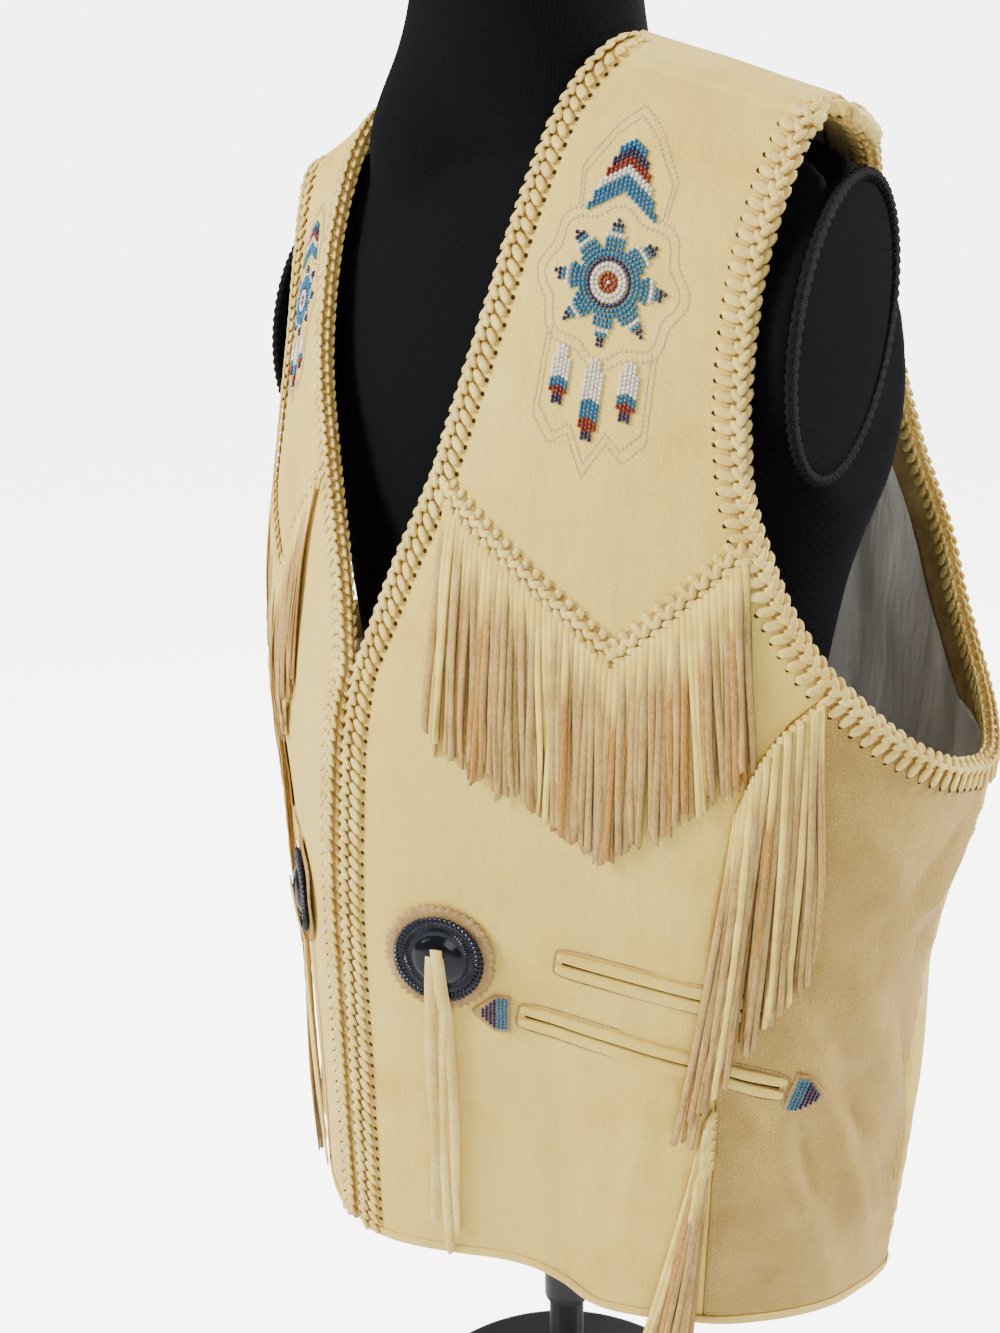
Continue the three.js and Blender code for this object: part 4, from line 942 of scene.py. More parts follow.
def jersey():
    look = Finish(
        "jersey", Specular_IOR_Level=0.1,
        Sheen_Weight=0.05, Sheen_Roughness=0.45, Sheen_Tint=colour(60, 66, 80),
    )
    ribs = look.wave(190, look.place, "X", 0.4)
    rows = look.wave(260, look.place, "Z", 0.4)
    knit = look.sum("MULTIPLY", ribs, rows)
    fluff = look.noise(420, 4, 0.7)
    shade = look.sum("MULTIPLY_ADD", knit, 0.4, look.sum("MULTIPLY", fluff, 0.6))
    look.set(Base_Color=look.ramp(shade, (0.2, colour(2, 3, 5)), (0.7, colour(11, 12, 16))), Roughness=0.9)
    return look.bumps((knit, 0.0002), (fluff, 0.0002))


def gimp():
    look = Finish("gimp", Specular_IOR_Level=0.2)
    twist = look.wave(420, look.place, "DIAGONAL", 1.0)
    fluff = look.noise(900, 3, 0.6)
    look.set(Base_Color=look.ramp(twist, (0.2, colour(1, 1, 2)), (0.8, colour(11, 11, 15))), Roughness=0.7)
    return look.bumps((twist, 0.0005), (fluff, 0.0001))


def bead_glass():
    look = Finish("bead_glass", Specular_IOR_Level=0.45, Coat_Weight=0.15, Coat_Roughness=0.1)
    swirl = look.noise(800, 2)
    clouded = look.ramp(swirl, (0.4, 0.14), (0.6, 0.0))
    tint = look.mix(clouded, look.attribute("tint", True), colour(20, 20, 40))
    look.set(Base_Color=tint, Roughness=look.ramp(swirl, (0.3, 0.24), (0.7, 0.36)))
    return look.bumps((swirl, 0.00005))


def thread():
    look = Finish("thread", Specular_IOR_Level=0.4)
    twist = look.wave(900, look.place, "DIAGONAL", 0.6)
    tint = look.ramp(twist, (0.1, colour(204, 182, 132)), (0.9, colour(240, 225, 184)))
    look.set(Base_Color=tint, Roughness=0.6)
    return look.bumps((twist, 0.0001))


def seam_line():
    look = Finish("seam_line", Roughness=0.8, Specular_IOR_Level=0.2)
    drift = look.noise(300, 3)
    look.set(Base_Color=look.ramp(drift, (0.3, colour(150, 116, 70)), (0.7, colour(190, 158, 108))))
    return look.bumps((drift, 0.0001))


def concho_metal():
    look = Finish("concho_metal", Coat_Weight=0.35, Coat_Roughness=0.1)
    patina = look.noise(240, 4, 0.6)
    scuff = look.noise(1600, 2, 0.6)
    worn = look.ramp(look.corners(), (0.52, 0.0), (0.66, 0.4))
    dark = look.ramp(patina, (0.35, colour(5, 6, 12)), (0.65, colour(14, 18, 36)))
    look.set(
        Base_Color=look.mix(worn, dark, colour(74, 84, 116)),
        Metallic=look.ramp(patina, (0.3, 0.55), (0.7, 0.85)),
        Roughness=look.ramp(scuff, (0.3, 0.12), (0.7, 0.24)),
    )
    return look.bumps((patina, 0.00012), (scuff, 0.00003))


def stand_metal():
    look = Finish("stand_metal", Coat_Weight=0.2)
    flake = look.noise(700, 3, 0.6)
    rub = look.noise(14, 4, 0.6)
    tint = look.ramp(rub, (0.35, colour(18, 18, 20)), (0.65, colour(34, 34, 37)))
    worn = look.ramp(look.corners(), (0.52, 0.0), (0.62, 0.7))
    look.set(
        Base_Color=look.mix(worn, tint, colour(90, 90, 94)),
        Metallic=look.ramp(rub, (0.3, 0.35), (0.7, 0.6)),
        Roughness=look.ramp(rub, (0.3, 0.36), (0.7, 0.5)),
    )
    return look.bumps((flake, 0.00006))


def pale_floor():
    look = Finish("pale_floor", Specular_IOR_Level=0.1)
    drift = look.noise(0.8, 3)
    look.set(Base_Color=look.ramp(drift, (0.3, 0.9), (0.7, 0.93)), Roughness=0.9)
    seen = look.nodes.new("ShaderNodeLightPath").outputs["Is Camera Ray"]
    look.set(Emission_Color=(1, 1, 1, 1), Emission_Strength=look.sum("MULTIPLY", seen, 5.2))
    return look.bumps((look.noise(140, 2), 0.0002))


MAKERS = {
    maker.__name__: maker
    for maker in (
        cream_leather, side_leather, facing_suede, tab_suede, fringe_suede, lace_leather, lace_ground,
        dark_hole, satin, jersey, gimp, bead_glass, thread, seam_line, concho_metal, stand_metal, pale_floor,
    )
}


# ---- The cloth pieces ----


def hang(piece, grid):
    """Works out the flat cut of the grid: width, length and area. Nothing uses them."""
    width, length, area = cut_of(grid)


def panel(name, grid, slot, look, node):
    """A leather panel with softly rounded rims, from a grid of places."""
    grid = with_border(parted(grid, PANEL_GAP))
    high = np.full(grid.shape[:2], LEATHER)
    for axis in (0, 1):
        for line, depth in ((0, RIM_DIP), (1, RIM_DIP * 0.15)):
            view = np.swapaxes(high, 0, axis)
            view[line] = np.minimum(view[line], LEATHER - depth)
            view[-1 - line] = np.minimum(view[-1 - line], LEATHER - depth)
    piece = shell_piece(name, on_vest(grid), on_vest(grid, high), uv=cloth_uv(grid))
    give(piece, finish(look), slot, node)
    hang(piece, grid)


def half_edges(side, fine=1):
    """Even places along the seams of one half."""
    def along(name, steps):
        return Edge(name, side=side).even(steps * fine)

    return along


def front_grids(side, fine=6):
    along = half_edges(side, fine)
    yoke_line = joined(along("yoke_inner", 7), along("yoke_outer", 4))
    yoke = patch(yoke_line, along("shoulder", 11), along("v_upper", 9), along("armhole_upper", 9)[::-1])
    inner = joined(along("front_edge", 11), along("v_lower", 2))
    seam = along("fringed_seam", 10)
    front = patch(along("hem_front", 11), yoke_line, inner, joined(seam, along("armhole_lower", 3)[::-1]))
    side_front = patch(along("hem_side", 6), along("armhole_side", 6), seam, along("side_seam", 10))
    return yoke, front, side_front


def back_grid(fine=5):
    """Places of the back piece, from the wearer's left side seam round to the right one."""
    sides, tops = [], []
    for side in (1, -1):
        along = half_edges(side, fine)
        rounded_back = np.array([0.0 if side > 0 else 360.0, 0.0])
        sides.append(joined(along("side_seam", 10), along("armhole_back", 12)) + rounded_back)
        tops.append(joined(along("shoulder_back", 6)[::-1], along("back_neck", 4)) + rounded_back)
    top = joined(tops[0], tops[1][::-1])
    share = np.linspace(0, 1, len(top))[:, None]
    start, end = (np.array([angle, HEM_LEVEL]) for angle in (SIDE_SEAM_ANGLE, 360 - SIDE_SEAM_ANGLE))
    hem = (1 - share) * start + share * end
    return patch(hem, top, sides[0], sides[1])


def make_panels(settings):
    for name, side in SIDES:
        yoke, front, side_front = front_grids(side)
        panel(f"yoke_panel_{name}", yoke, "leather", "cream_leather", f"yoke_{name}")
        panel(f"front_panel_{name}", front, "leather", "cream_leather", f"front_{name}")
        # The side panels take the darker leather, which holds painted shade.
        panel(f"side_panel_{name}", side_front, "side_leather", "side_leather", f"side_front_{name}")
        shoulder_fold(name, side)
    panel("back_panel", back_grid(), "leather", "cream_leather", "back")


def shoulder_fold(name, side):
    """The leather that laps over the shoulder line and joins the front to the back."""
    line = Edge("shoulder", side=side).even(60, 1.5, 1.5)
    drops = np.array([9.0, 5.0, 2.5, 0.9])
    layers = []
    for lift in (LEATHER + 0.25, LEATHER + 1.25):
        front = [on_vest(line - np.array([0, d]), lift - 0.9 * (d > 8)) for d in drops]
        behind = line.copy()
        behind[:, 0] = 180 * side - line[:, 0]
        back = [on_vest(behind - np.array([0, d]), lift - 0.9 * (d > 8)) for d in drops]
        crown = (front[-1] + back[-1]) / 2
        reach = np.linalg.norm(front[-1] - back[-1], axis=-1, keepdims=True) / 2
        crown = crown + np.array([0, 0, 1.0]) * (reach * 0.5 + 0.3)
        layers.append(np.stack(front + [crown] + back[::-1]))
    piece = shell_piece(f"shoulder_fold_{name}", layers[0], layers[1])
    give(piece, finish("cream_leather"), "leather")


def lining_piece(name, grid, node, fullness):
    """Satin that hangs in soft upright folds between its sewn edges."""
    grid = parted(grid, 2.5)
    rows, columns = grid.shape[:2]
    u = np.linspace(0, 1, columns)[None, :]
    v = np.linspace(0, 1, rows)[:, None]
    free = np.clip(np.minimum(u, 1 - u) * 9, 0, 1) * np.clip(np.minimum(v, 1 - v) * 6, 0, 1)
    angle, height = grid[..., 0], grid[..., 1]
    waves = (
        0.5 * np.sin(np.radians(angle * 13) + 0.9 * np.sin(height / 90))
        + 0.3 * np.sin(np.radians(angle * 29) + 1.3 + 0.7 * np.sin(height / 55))
        + 0.2 * np.sin(np.radians(angle * 47) + height / 150)
    )
    room = np.clip((560 - height) / 120, 0.12, 1)
    fall = free * room * fullness * (1 + waves)
    low = on_vest(grid, -1.3 - fall - 0.5)
    high = on_vest(grid, -1.3 - fall)
    piece = shell_piece(name, low, high, uv=cloth_uv(grid))
    give(piece, finish("satin"), "satin", node)
    hang(piece, grid)


def make_lining(settings):
    grid = back_grid(6)
    grid[0, :, 1] += 12
    fullness = settings.lining_fullness * 1000
    lining_piece("back_lining", grid, "lining_back", fullness)
    for name, side in SIDES:
        grid = front_grids(side)[2]
        grid[0, :, 1] += 12
        lining_piece(f"side_lining_{name}", grid, f"lining_side_{name}", fullness)


EDGE_PATH = ("front_edge", "v_lower", "v_upper", "back_neck")
ARMHOLE_PATH = ("armhole_upper", "armhole_lower", "armhole_side", "armhole_back")


def settled(vectors, reach):
    """Directions along a path, evened out over some neighbours."""
    kernel = np.hanning(2 * reach + 3)[1:-1]
    padded = np.concatenate([vectors[:1].repeat(reach, 0), vectors, vectors[-1:].repeat(reach, 0)])
    evened = np.stack([np.convolve(padded[:, k], kernel, "valid") for k in range(3)], -1)
    return unit(evened)


def rim_frames(edge, count, start=0.0, end=0.0, even=6.0):
    """Frames along an edge at even steps, with the out direction eased where the cloth turns over."""
    distances = np.linspace(start, edge.length - end, count)
    places, along, inward, out = edge.frames(distances)
    reach = max(1, int(even / max(edge.length / count, 0.2)))
    out = settled(out, reach)
    along = settled(along, reach)
    inward = unit(np.cross(along, out)) * edge.side
    spots = on_vest(places, 0.0)
    return distances, places, spots, along, inward, out


def strip_on(edge, section, count, start=0.0, end=0.0, sign=1.0):
    """Rings of points for a band with a given section (in from the edge, out of the cloth)."""
    _, places, spots, _, inward, out = rim_frames(edge, count, start, end)
    rings = []
    for depth, lift in section:
        if depth > 2:
            reached = moved(places, inward * (depth * sign))
            spot = on_vest(reached, lift)
            wanted = spots + inward * (depth * sign)
            gap = np.linalg.norm(spot - wanted, axis=-1)
            stray = (gap > 4 + abs(lift) + 0.35 * depth)[:, None]
            spot = np.where(stray, wanted + out * lift, spot)
        else:
            spot = spots + inward * (depth * sign) + out * lift
        rings.append(spot)
    return np.stack(rings, 1)


def make_facings(settings):
    widths = (("facing_armhole", ARMHOLE_PATH, 27), ("facing_front", EDGE_PATH[:3], 40))
    for name, side in SIDES:
        for node, path, width in widths:
            edge = Edge(*path, side=side)
            steps = np.linspace(0.4, width, 9)
            lifts = -2.6 - 1.6 * np.sin(np.linspace(0, np.pi, 9)) * 0.5
            inner = strip_on(edge, [(d, l - 1.0) for d, l in zip(steps, lifts)], 190)
            outer = strip_on(edge, list(zip(steps, lifts)), 190)
            piece = shell_piece(f"{node}_strip_{name}", inner, outer)
            give(piece, finish("facing_suede"), "facing", f"{node}_{name}")


HEM_SECTION = (
    (4.4, LEATHER + 0.15), (4.8, LEATHER + 0.5), (4.3, LEATHER + 0.95), (0.5, LEATHER + 1.05),
    (-0.8, LEATHER + 0.5), (-1.1, 0.7), (-0.8, -0.6), (0.2, -0.95), (3.8, -0.8), (3.9, -0.2),
    (-0.15, -0.15), (-0.15, LEATHER + 0.15),
)


def make_hems(settings):
    for name, side in SIDES:
        edge = Edge("hem_front", "hem_side", "hem_back", side=side)
        rings = strip_on(edge, HEM_SECTION, 260, 0.6, 0.0, -1.0)
        piece = tube_piece(f"hem_turn_{name}", rings)
        give(piece, finish("cream_leather"), "leather")


# ---- Laced edges and braids ----


def lace_shapes():
    return {
        "petal": small_shape("petal_shape", 11.0, 5.3, 2.6, 8, 6, 0.42, 0.5),
        "leaf": small_shape("leaf_shape", 8.8, 4.5, 2.6, 6, 5, 0.6, 0.4),
        "hole": small_shape("hole_shape", 3.0, 2.3, 0.5, 8, 4, 0.5),
    }


def laid_row(name, shape, frames, depth, lift, slant, look, seed, wobble=0.06, size=1.0, stretch=None):
    """One row of loops along an edge: `slant` turns them from straight in towards along the edge."""
    rng = np.random.default_rng(seed)
    _, places, spots, along, inward, out = frames
    count = len(places)
    turn = math.radians(slant) + rng.normal(0, wobble, count)
    way = inward * np.cos(turn)[:, None] + along * np.sin(turn)[:, None]
    where = spots + inward * depth + out * lift
    if depth > 5:
        laid = on_vest(moved(places, inward * depth), lift)
        where = np.where(np.linalg.norm(laid - where, axis=-1, keepdims=True) < 4, laid, where)
    scale = np.ones((count, 3)) * (1 + rng.normal(0, 0.04, (count, 1)))
    if stretch is not None:
        scale = scale * np.array(stretch)
    tone = np.clip(rng.normal(0.35, 0.3, count), 0, 1)
    return repeated(name, shape, where, way, out, finish(look), size, scale, {"tone": tone})


def shoulder_lap(name, side):
    """The lace that laps over the shoulder tip, where the armhole's two ends meet."""
    drops = np.array([9.0, 6.0, 3.0, 0.6])
    front = on_vest(np.stack([np.full(4, TIP_ANGLE * side), RIDGE - drops], -1), 0.4)
    back = on_vest(np.stack([np.full(4, (180 - TIP_ANGLE) * side), RIDGE - drops], -1), 0.4)
    crown = (front[-1:] + back[-1:]) / 2 + np.array([[0, 0, 1.2]])
    track = np.vstack([front, crown, back[::-1]])
    run = np.concatenate([[0], np.cumsum(np.linalg.norm(np.diff(track, axis=0), axis=1))])
    at = np.linspace(0, run[-1], 28)
    track = np.stack([np.interp(at, run, track[:, k]) for k in range(3)], -1)
    rope_ring(f"shoulder_lap_{name}", track, 3.7, "lace_leather", "lace", closed=False, strands=7)


def make_lacing(settings):
    shapes = lace_shapes()
    plans = (
        ("edge_lacing", EDGE_PATH, 38, 0.5, 0.3),
        ("armhole_lacing", ARMHOLE_PATH, 18, 0.0, 0.0),
    )
    for name, side in SIDES:
        for node, path, slant, start, end in plans:
            edge = Edge(*path, side=side)
            count = int(edge.length / (settings.lace_pitch * 1000))
            half = edge.length / count / 2
            main = rim_frames(edge, count, start + half, end + half)
            between = rim_frames(edge, count - 1, start + 2 * half, end + 2 * half)
            seed = 11 if side > 0 else 23
            key = f"{node}_{name}"
            down = -slant
            rows = (
                ("petal", main, 8.9, LEATHER + 1.5, down),
                ("leaf", main, 3.3, LEATHER + 2.5, -52),
                ("leaf", between, 0.9, LEATHER + 2.3, 56),
                ("leaf", main, -1.2, 0.4, 62),
                ("leaf", between, 0.6, -3.6, -50),
                ("petal", main, 5.6, -4.2, down),
            )
            loops = merged(f"{key}_loops", [
                laid_row(f"{key}_{k}", shapes[shape], frames, depth, lift, slope, "lace_leather", seed + k)
                for k, (shape, frames, depth, lift, slope) in enumerate(rows)
            ])
            give(loops, None, "lace", key)
            hole = shapes["hole"]
            lift = LEATHER + 0.25
            # Dark patches at the lace holes: painted shade where the lace passes through the leather.
            hole_shades = laid_row(f"{key}_holes", hole, main, 13.6, lift, down, "dark_hole", seed + len(rows))
            give(hole_shades, None, "lace")
            # The core and the ground band under the loops take the painted shade finish.
            core = []
            for turn in np.linspace(0, 2 * np.pi, 10, endpoint=False):
                core.append((0.9 + 2.0 * math.cos(turn), -0.9 + 3.5 * math.sin(turn)))
            count = max(120, int(edge.length / 3))
            cord = tube_piece(f"{key}_core", strip_on(edge, core, count, start, end))
            give(cord, finish("lace_ground"), "lace")
            ground = ((0.5, LEATHER + 0.1), (7.6, LEATHER + 0.1), (7.2, LEATHER + 0.8), (0.5, LEATHER + 1.0))
            band = tube_piece(f"{key}_ground", strip_on(edge, ground, count, start, end))
            give(band, finish("lace_ground"), "lace")
        shoulder_lap(name, side)
    drop(*shapes.values())


def make_braids(settings):
    shapes = lace_shapes()
    for name, side in SIDES:
        edge = Edge("yoke_inner", "yoke_outer", side=side)
        length = edge.length - 26
        count = int(length / (settings.braid_pitch * 1000))
        main = rim_frames(edge, count, 13, 13, 4.0)
        half = length / count / 2
        between = rim_frames(edge, count, 13 + half, 13 - half, 4.0)
        key = f"yoke_braid_{name}"
        rows = (
            ("petal", main, -5.0, LEATHER + 1.3, 14, 0.1, 0.62, (1, 1.35, 1)),
            ("leaf", main, -1.4, LEATHER + 2.0, 46, 0.08, 0.95, None),
            ("leaf", between, -1.2, LEATHER + 2.5, -46, 0.08, 0.95, None),
            ("leaf", main, 3.6, LEATHER + 2.0, 58, 0.08, 1.12, None),
            ("petal", between, 4.8, LEATHER + 1.4, 62, 0.08, 0.7, None),
        )
        loops = merged(f"{key}_loops", [
            laid_row(f"{key}_{k}", shapes[shape], frames, depth, lift, slope, "lace_leather", k, *rest)
            for k, (shape, frames, depth, lift, slope, *rest) in enumerate(rows, 5)
        ])
        give(loops, None, "lace", key)
        # The ground band under the braid takes the painted shade finish.
        ground = (
            (-6.0, LEATHER + 0.1), (6.0, LEATHER + 0.1), (5.6, LEATHER + 1.0), (0, LEATHER + 1.5),
            (-5.6, LEATHER + 1.0),
        )
        _, _, spots, _, inward, out = rim_frames(edge, 120, 9, 9, 4.0)
        rings = np.stack([spots + inward * d + out * l for d, l in ground], 1)
        band = tube_piece(f"{key}_ground", rings)
        give(band, finish("lace_ground"), "lace")
    drop(*shapes.values())


# ---- Fringes ----


def ribbons(name, places, ways, lengths, widths, spread, lifts, seed, tones=None, segments=16):
    """Cut strips that hang from their roots as one mesh. `spread` is the sideways drift of each tip."""
    rng = np.random.default_rng(seed)
    count = len(places)
    share = np.linspace(0, 1, segments + 1)
    tones = rng.uniform(0, 1, count) if tones is None else tones
    waver = rng.normal(0, 1, (count, 3))
    phase = rng.uniform(0, 2 * np.pi, (count, 3))
    s = share[None, :]
    lengths, spread, lifts = (np.asarray(v, float)[:, None] for v in (lengths, spread, lifts))
    down = lengths * s
    drift = spread * s**1.15 + s * (1.3 * waver[:, :1] + 0.9 * np.sin(phase[:, :1] + 5.0 * s) * waver[:, 1:2])
    root = places[:, None, :].repeat(segments + 1, 1)
    lead = np.array(ways)[:, None, :] * np.minimum(down, 9.0)[..., None]
    hang = np.maximum(down - 9.0, 0) if np.any(ways) else down
    track = shifted(root, drift + lead[..., 0], -hang + lead[..., 1])
    swing = (1.8 + 0.9 * waver[:, 2:3]) * np.sin(np.pi * s * 0.8)
    lift = lifts + 1.1 + swing + 0.8 * np.sin(phase[:, 1:2] + 6 * s) * s
    centre = on_vest(track, np.maximum(lift, LEATHER + 0.5) + LEATHER * 0.2)
    around, _, out = surface_frame(track)
    tangent = unit(np.gradient(centre, axis=1))
    level = unit(np.cross(tangent, out))
    level = level * np.sign((level * around).sum(-1, keepdims=True))
    twist = (0.25 * waver[:, 1:2] * s + 0.3 * np.sin(phase[:, 2:3] + 4 * s) * s)[..., None]
    flat = unit(np.cross(level, tangent))
    flat = flat * np.sign((flat * out).sum(-1, keepdims=True))
    across = level * np.cos(twist) + flat * np.sin(twist)
    facing = flat * np.cos(twist) - level * np.sin(twist)
    width = np.asarray(widths)[:, None] * (1 - 0.12 * s) * (1 + 0.05 * np.sin(phase[:, :1] * 2 + 9 * s))
    cup = 0.28 + 0.25 * np.abs(waver[:, :1]) * s
    section = ((-1, 0.0), (-0.5, 0.55), (0.5, 0.55), (1, 0.0), (0.55, -0.55), (-0.55, -0.55))
    rings, u = [], []
    cut = rng.uniform(-1, 1, count)[:, None]
    tip = np.clip((s - 0.9) / 0.1, 0, 1)
    for edge, thick in section:
        bend = (edge * edge) * cup * 0.9
        point = centre + across * (width * edge * 0.5)[..., None] + facing * (thick - bend + 0.3)[..., None]
        point = point + tangent * (cut * tip * edge * 2.4)[..., None]
        rings.append(point)
        u.append(np.full((count, segments + 1), edge))
    rings = np.stack(rings, 2)
    sides = len(section)
    u = np.stack(u, 2)
    per = (segments + 1) * sides
    quads = grid_faces(segments + 1, sides, wrap=True)
    quads = (quads[None] + (np.arange(count) * per)[:, None, None]).reshape(-1, 4)
    first = np.arange(sides)[::-1][None] + (np.arange(count) * per)[:, None]
    last = np.arange(sides)[None] + (np.arange(count) * per + segments * sides)[:, None]
    grain = np.broadcast_to(s[..., None], u.shape)
    tone = np.broadcast_to(np.asarray(tones)[:, None, None], u.shape)
    v = np.broadcast_to((down * 0.001)[..., None], u.shape)
    uv = np.stack([u.reshape(-1), v.reshape(-1)], -1)
    attributes = {"grain": grain.reshape(-1), "tone": tone.reshape(-1)}
    return object_from(name, rings, [quads, first, last], attributes, uv)


def make_fringes(settings):
    for name, side in SIDES:
        seed = 5 if side > 0 else 47
        rng = np.random.default_rng(seed)
        edge = Edge("yoke_inner", "yoke_outer", side=side)
        width = settings.strip_width * 1000
        layers = []
        for layer, lift in enumerate((2.9, 1.4)):
            along = Edge("yoke_inner", side=side).length
            pitch = settings.strip_pitch * 1000 + 0.1 * layer
            distances = np.arange(16 + 2.2 * layer, edge.length - 7, pitch)
            roots = shifted(edge.places(distances), 0.0, -5.0)
            n = len(distances)
            before = np.clip(1 - distances / along, 0, 1)
            lengths = settings.yoke_fringe_length * 1000 + rng.normal(0, 3.2, n) + 19 * before
            if layer == 0:
                tones = np.where(rng.random(n) < 0.16, 0.98, rng.uniform(0, 0.8, n))
            else:
                tones = rng.uniform(0.3, 1, n)
            layers.append(ribbons(
                f"yoke_fringe_{name}_{layer}", roots, np.zeros((n, 2)), lengths, np.full(n, width),
                rng.normal(0, 0.8, n) + 9 * before * side, np.full(n, lift), seed + layer, tones,
            ))
        piece = merged(f"yoke_fringe_strips_{name}", layers)
        give(piece, finish("fringe_suede"), "suede", f"yoke_fringe_{name}")
        forward = -side
        layers = []
        for layer, lift in enumerate((4.2, 2.2)):
            upper = Edge(((50.8, 292), (53.2, 316), (56.4, 335), (61.5, 351)), side=side)
            n = 19 - layer
            distances = np.linspace(0.5 + 1.3 * layer, upper.length - 0.5, n)
            share = np.linspace(0, 1, n)
            lengths = 196 - 48 * share + rng.normal(0, 7, n)
            spread = (22 * (1 - share) - 3) * forward + rng.normal(0, 2.0, n)
            layers.append(ribbons(
                f"upper_{name}_{layer}", upper.places(distances), np.zeros((n, 2)), lengths,
                np.full(n, width), spread, np.full(n, lift) + 1.2 * (np.arange(n) % 2), seed + 7 + layer,
                rng.uniform(0, 0.9, n), 20,
            ))
        piece = merged(f"seam_fringe_upper_strips_{name}", layers)
        give(piece, finish("fringe_suede"), "suede", f"seam_fringe_upper_{name}")
        layers = []
        for layer, lift in enumerate((3.8, 1.8)):
            lower = Edge(((53.6, 84), (53.5, 100), (53.4, 119)), side=side)
            n = 11 - layer
            distances = np.linspace(0.5 + 1.3 * layer, lower.length - 0.5, n)
            share = np.linspace(0, 1, n)
            lengths = 152 + 16 * share + rng.normal(0, 5, n)
            lead = np.stack([np.full(n, 0.35 * forward), np.full(n, -0.95)], -1)
            spread = (34 - 6 * share) * forward * (0.15 + 0.85 * rng.random(n)) + rng.normal(0, 1.5, n)
            layers.append(ribbons(
                f"lower_{name}_{layer}", lower.places(distances), lead, lengths, np.full(n, width),
                spread, np.full(n, lift) + 1.2 * (np.arange(n) % 2), seed + 17 + layer,
                rng.uniform(0, 0.9, n), 20,
            ))
        piece = merged(f"seam_fringe_lower_strips_{name}", layers)
        give(piece, finish("fringe_suede"), "suede", f"seam_fringe_lower_{name}")


# ---- Pockets, stitching and beads ----

POCKETS = (("upper", (28.8, 199), (60.5, 178)), ("lower", (24.1, 164), (64.6, 132)))


def stitch_rows(name, lines, pitch, length):
    """Short stitches along lines of places. Each line comes with its lift off the cloth."""
    shape = small_shape("stitch_shape", length, 0.5, 0.4, 5, 4, 0.4)
    spots, ways, outs = [], [], []
    for line, lift in lines:
        track = on_vest(line, lift)
        gaps = np.linalg.norm(np.diff(track, axis=0), axis=1)
        run = np.concatenate([[0], np.cumsum(gaps)])
        at = np.arange(pitch / 2, run[-1], pitch)
        point = np.stack([np.interp(at, run, track[:, k]) for k in range(3)], -1)
        angle = np.stack([np.interp(at, run, line[:, k]) for k in range(2)], -1)
        ahead = np.stack([np.interp(np.minimum(at + 0.5, run[-1]), run, track[:, k]) for k in range(3)], -1)
        behind = np.stack([np.interp(np.maximum(at - 0.5, 0), run, track[:, k]) for k in range(3)], -1)
        spots.append(point)
        ways.append(unit(ahead - behind))
        outs.append(surface_frame(angle)[2])
    spots, ways, outs = (np.vstack(rows) for rows in (spots, ways, outs))
    piece = repeated(name, shape, spots, ways, outs, finish("thread"))
    drop(shape)
    return give(piece, None, "lace")


def offset_line(edge, depth, count, start=0.0, end=0.0, sign=1.0):
    """Places of a line that runs beside an edge."""
    _, places, _, _, inward, _ = rim_frames(edge, count, start, end)
    return moved(places, inward * depth * sign)


def make_stitching(settings):
    for name, side in SIDES:
        hem = Edge("hem_front", "hem_side", "hem_back", side=side)
        seam = Edge("fringed_seam", side=side)
        side_seam = Edge("side_seam", side=side)
        lines = [(offset_line(hem, 3.3, 300, 1, 0, -1.0), LEATHER + 1.05)]
        lines.append((offset_line(seam, 3.0, 120, 4, 8), LEATHER + 0.1))
        lines.append((offset_line(side_seam, 3.0, 120, 4, 10), LEATHER + 0.1))
        lines.append((offset_line(side_seam, -3.0, 120, 4, 10), LEATHER + 0.1))
        stitch_rows(f"seam_stitches_{name}", lines, settings.stitch_pitch * 1000, 2.1)
        for label, edge in (("front", seam), ("side", side_seam)):
            under = ((-6.0, -1.0), (1.9, -1.0), (1.9, -0.2), (-6.0, -0.2))
            piece = tube_piece(f"{label}_seam_allowance_{name}", strip_on(edge, under, 120, 1.0, 1.0))
            give(piece, finish("cream_leather"), "leather")


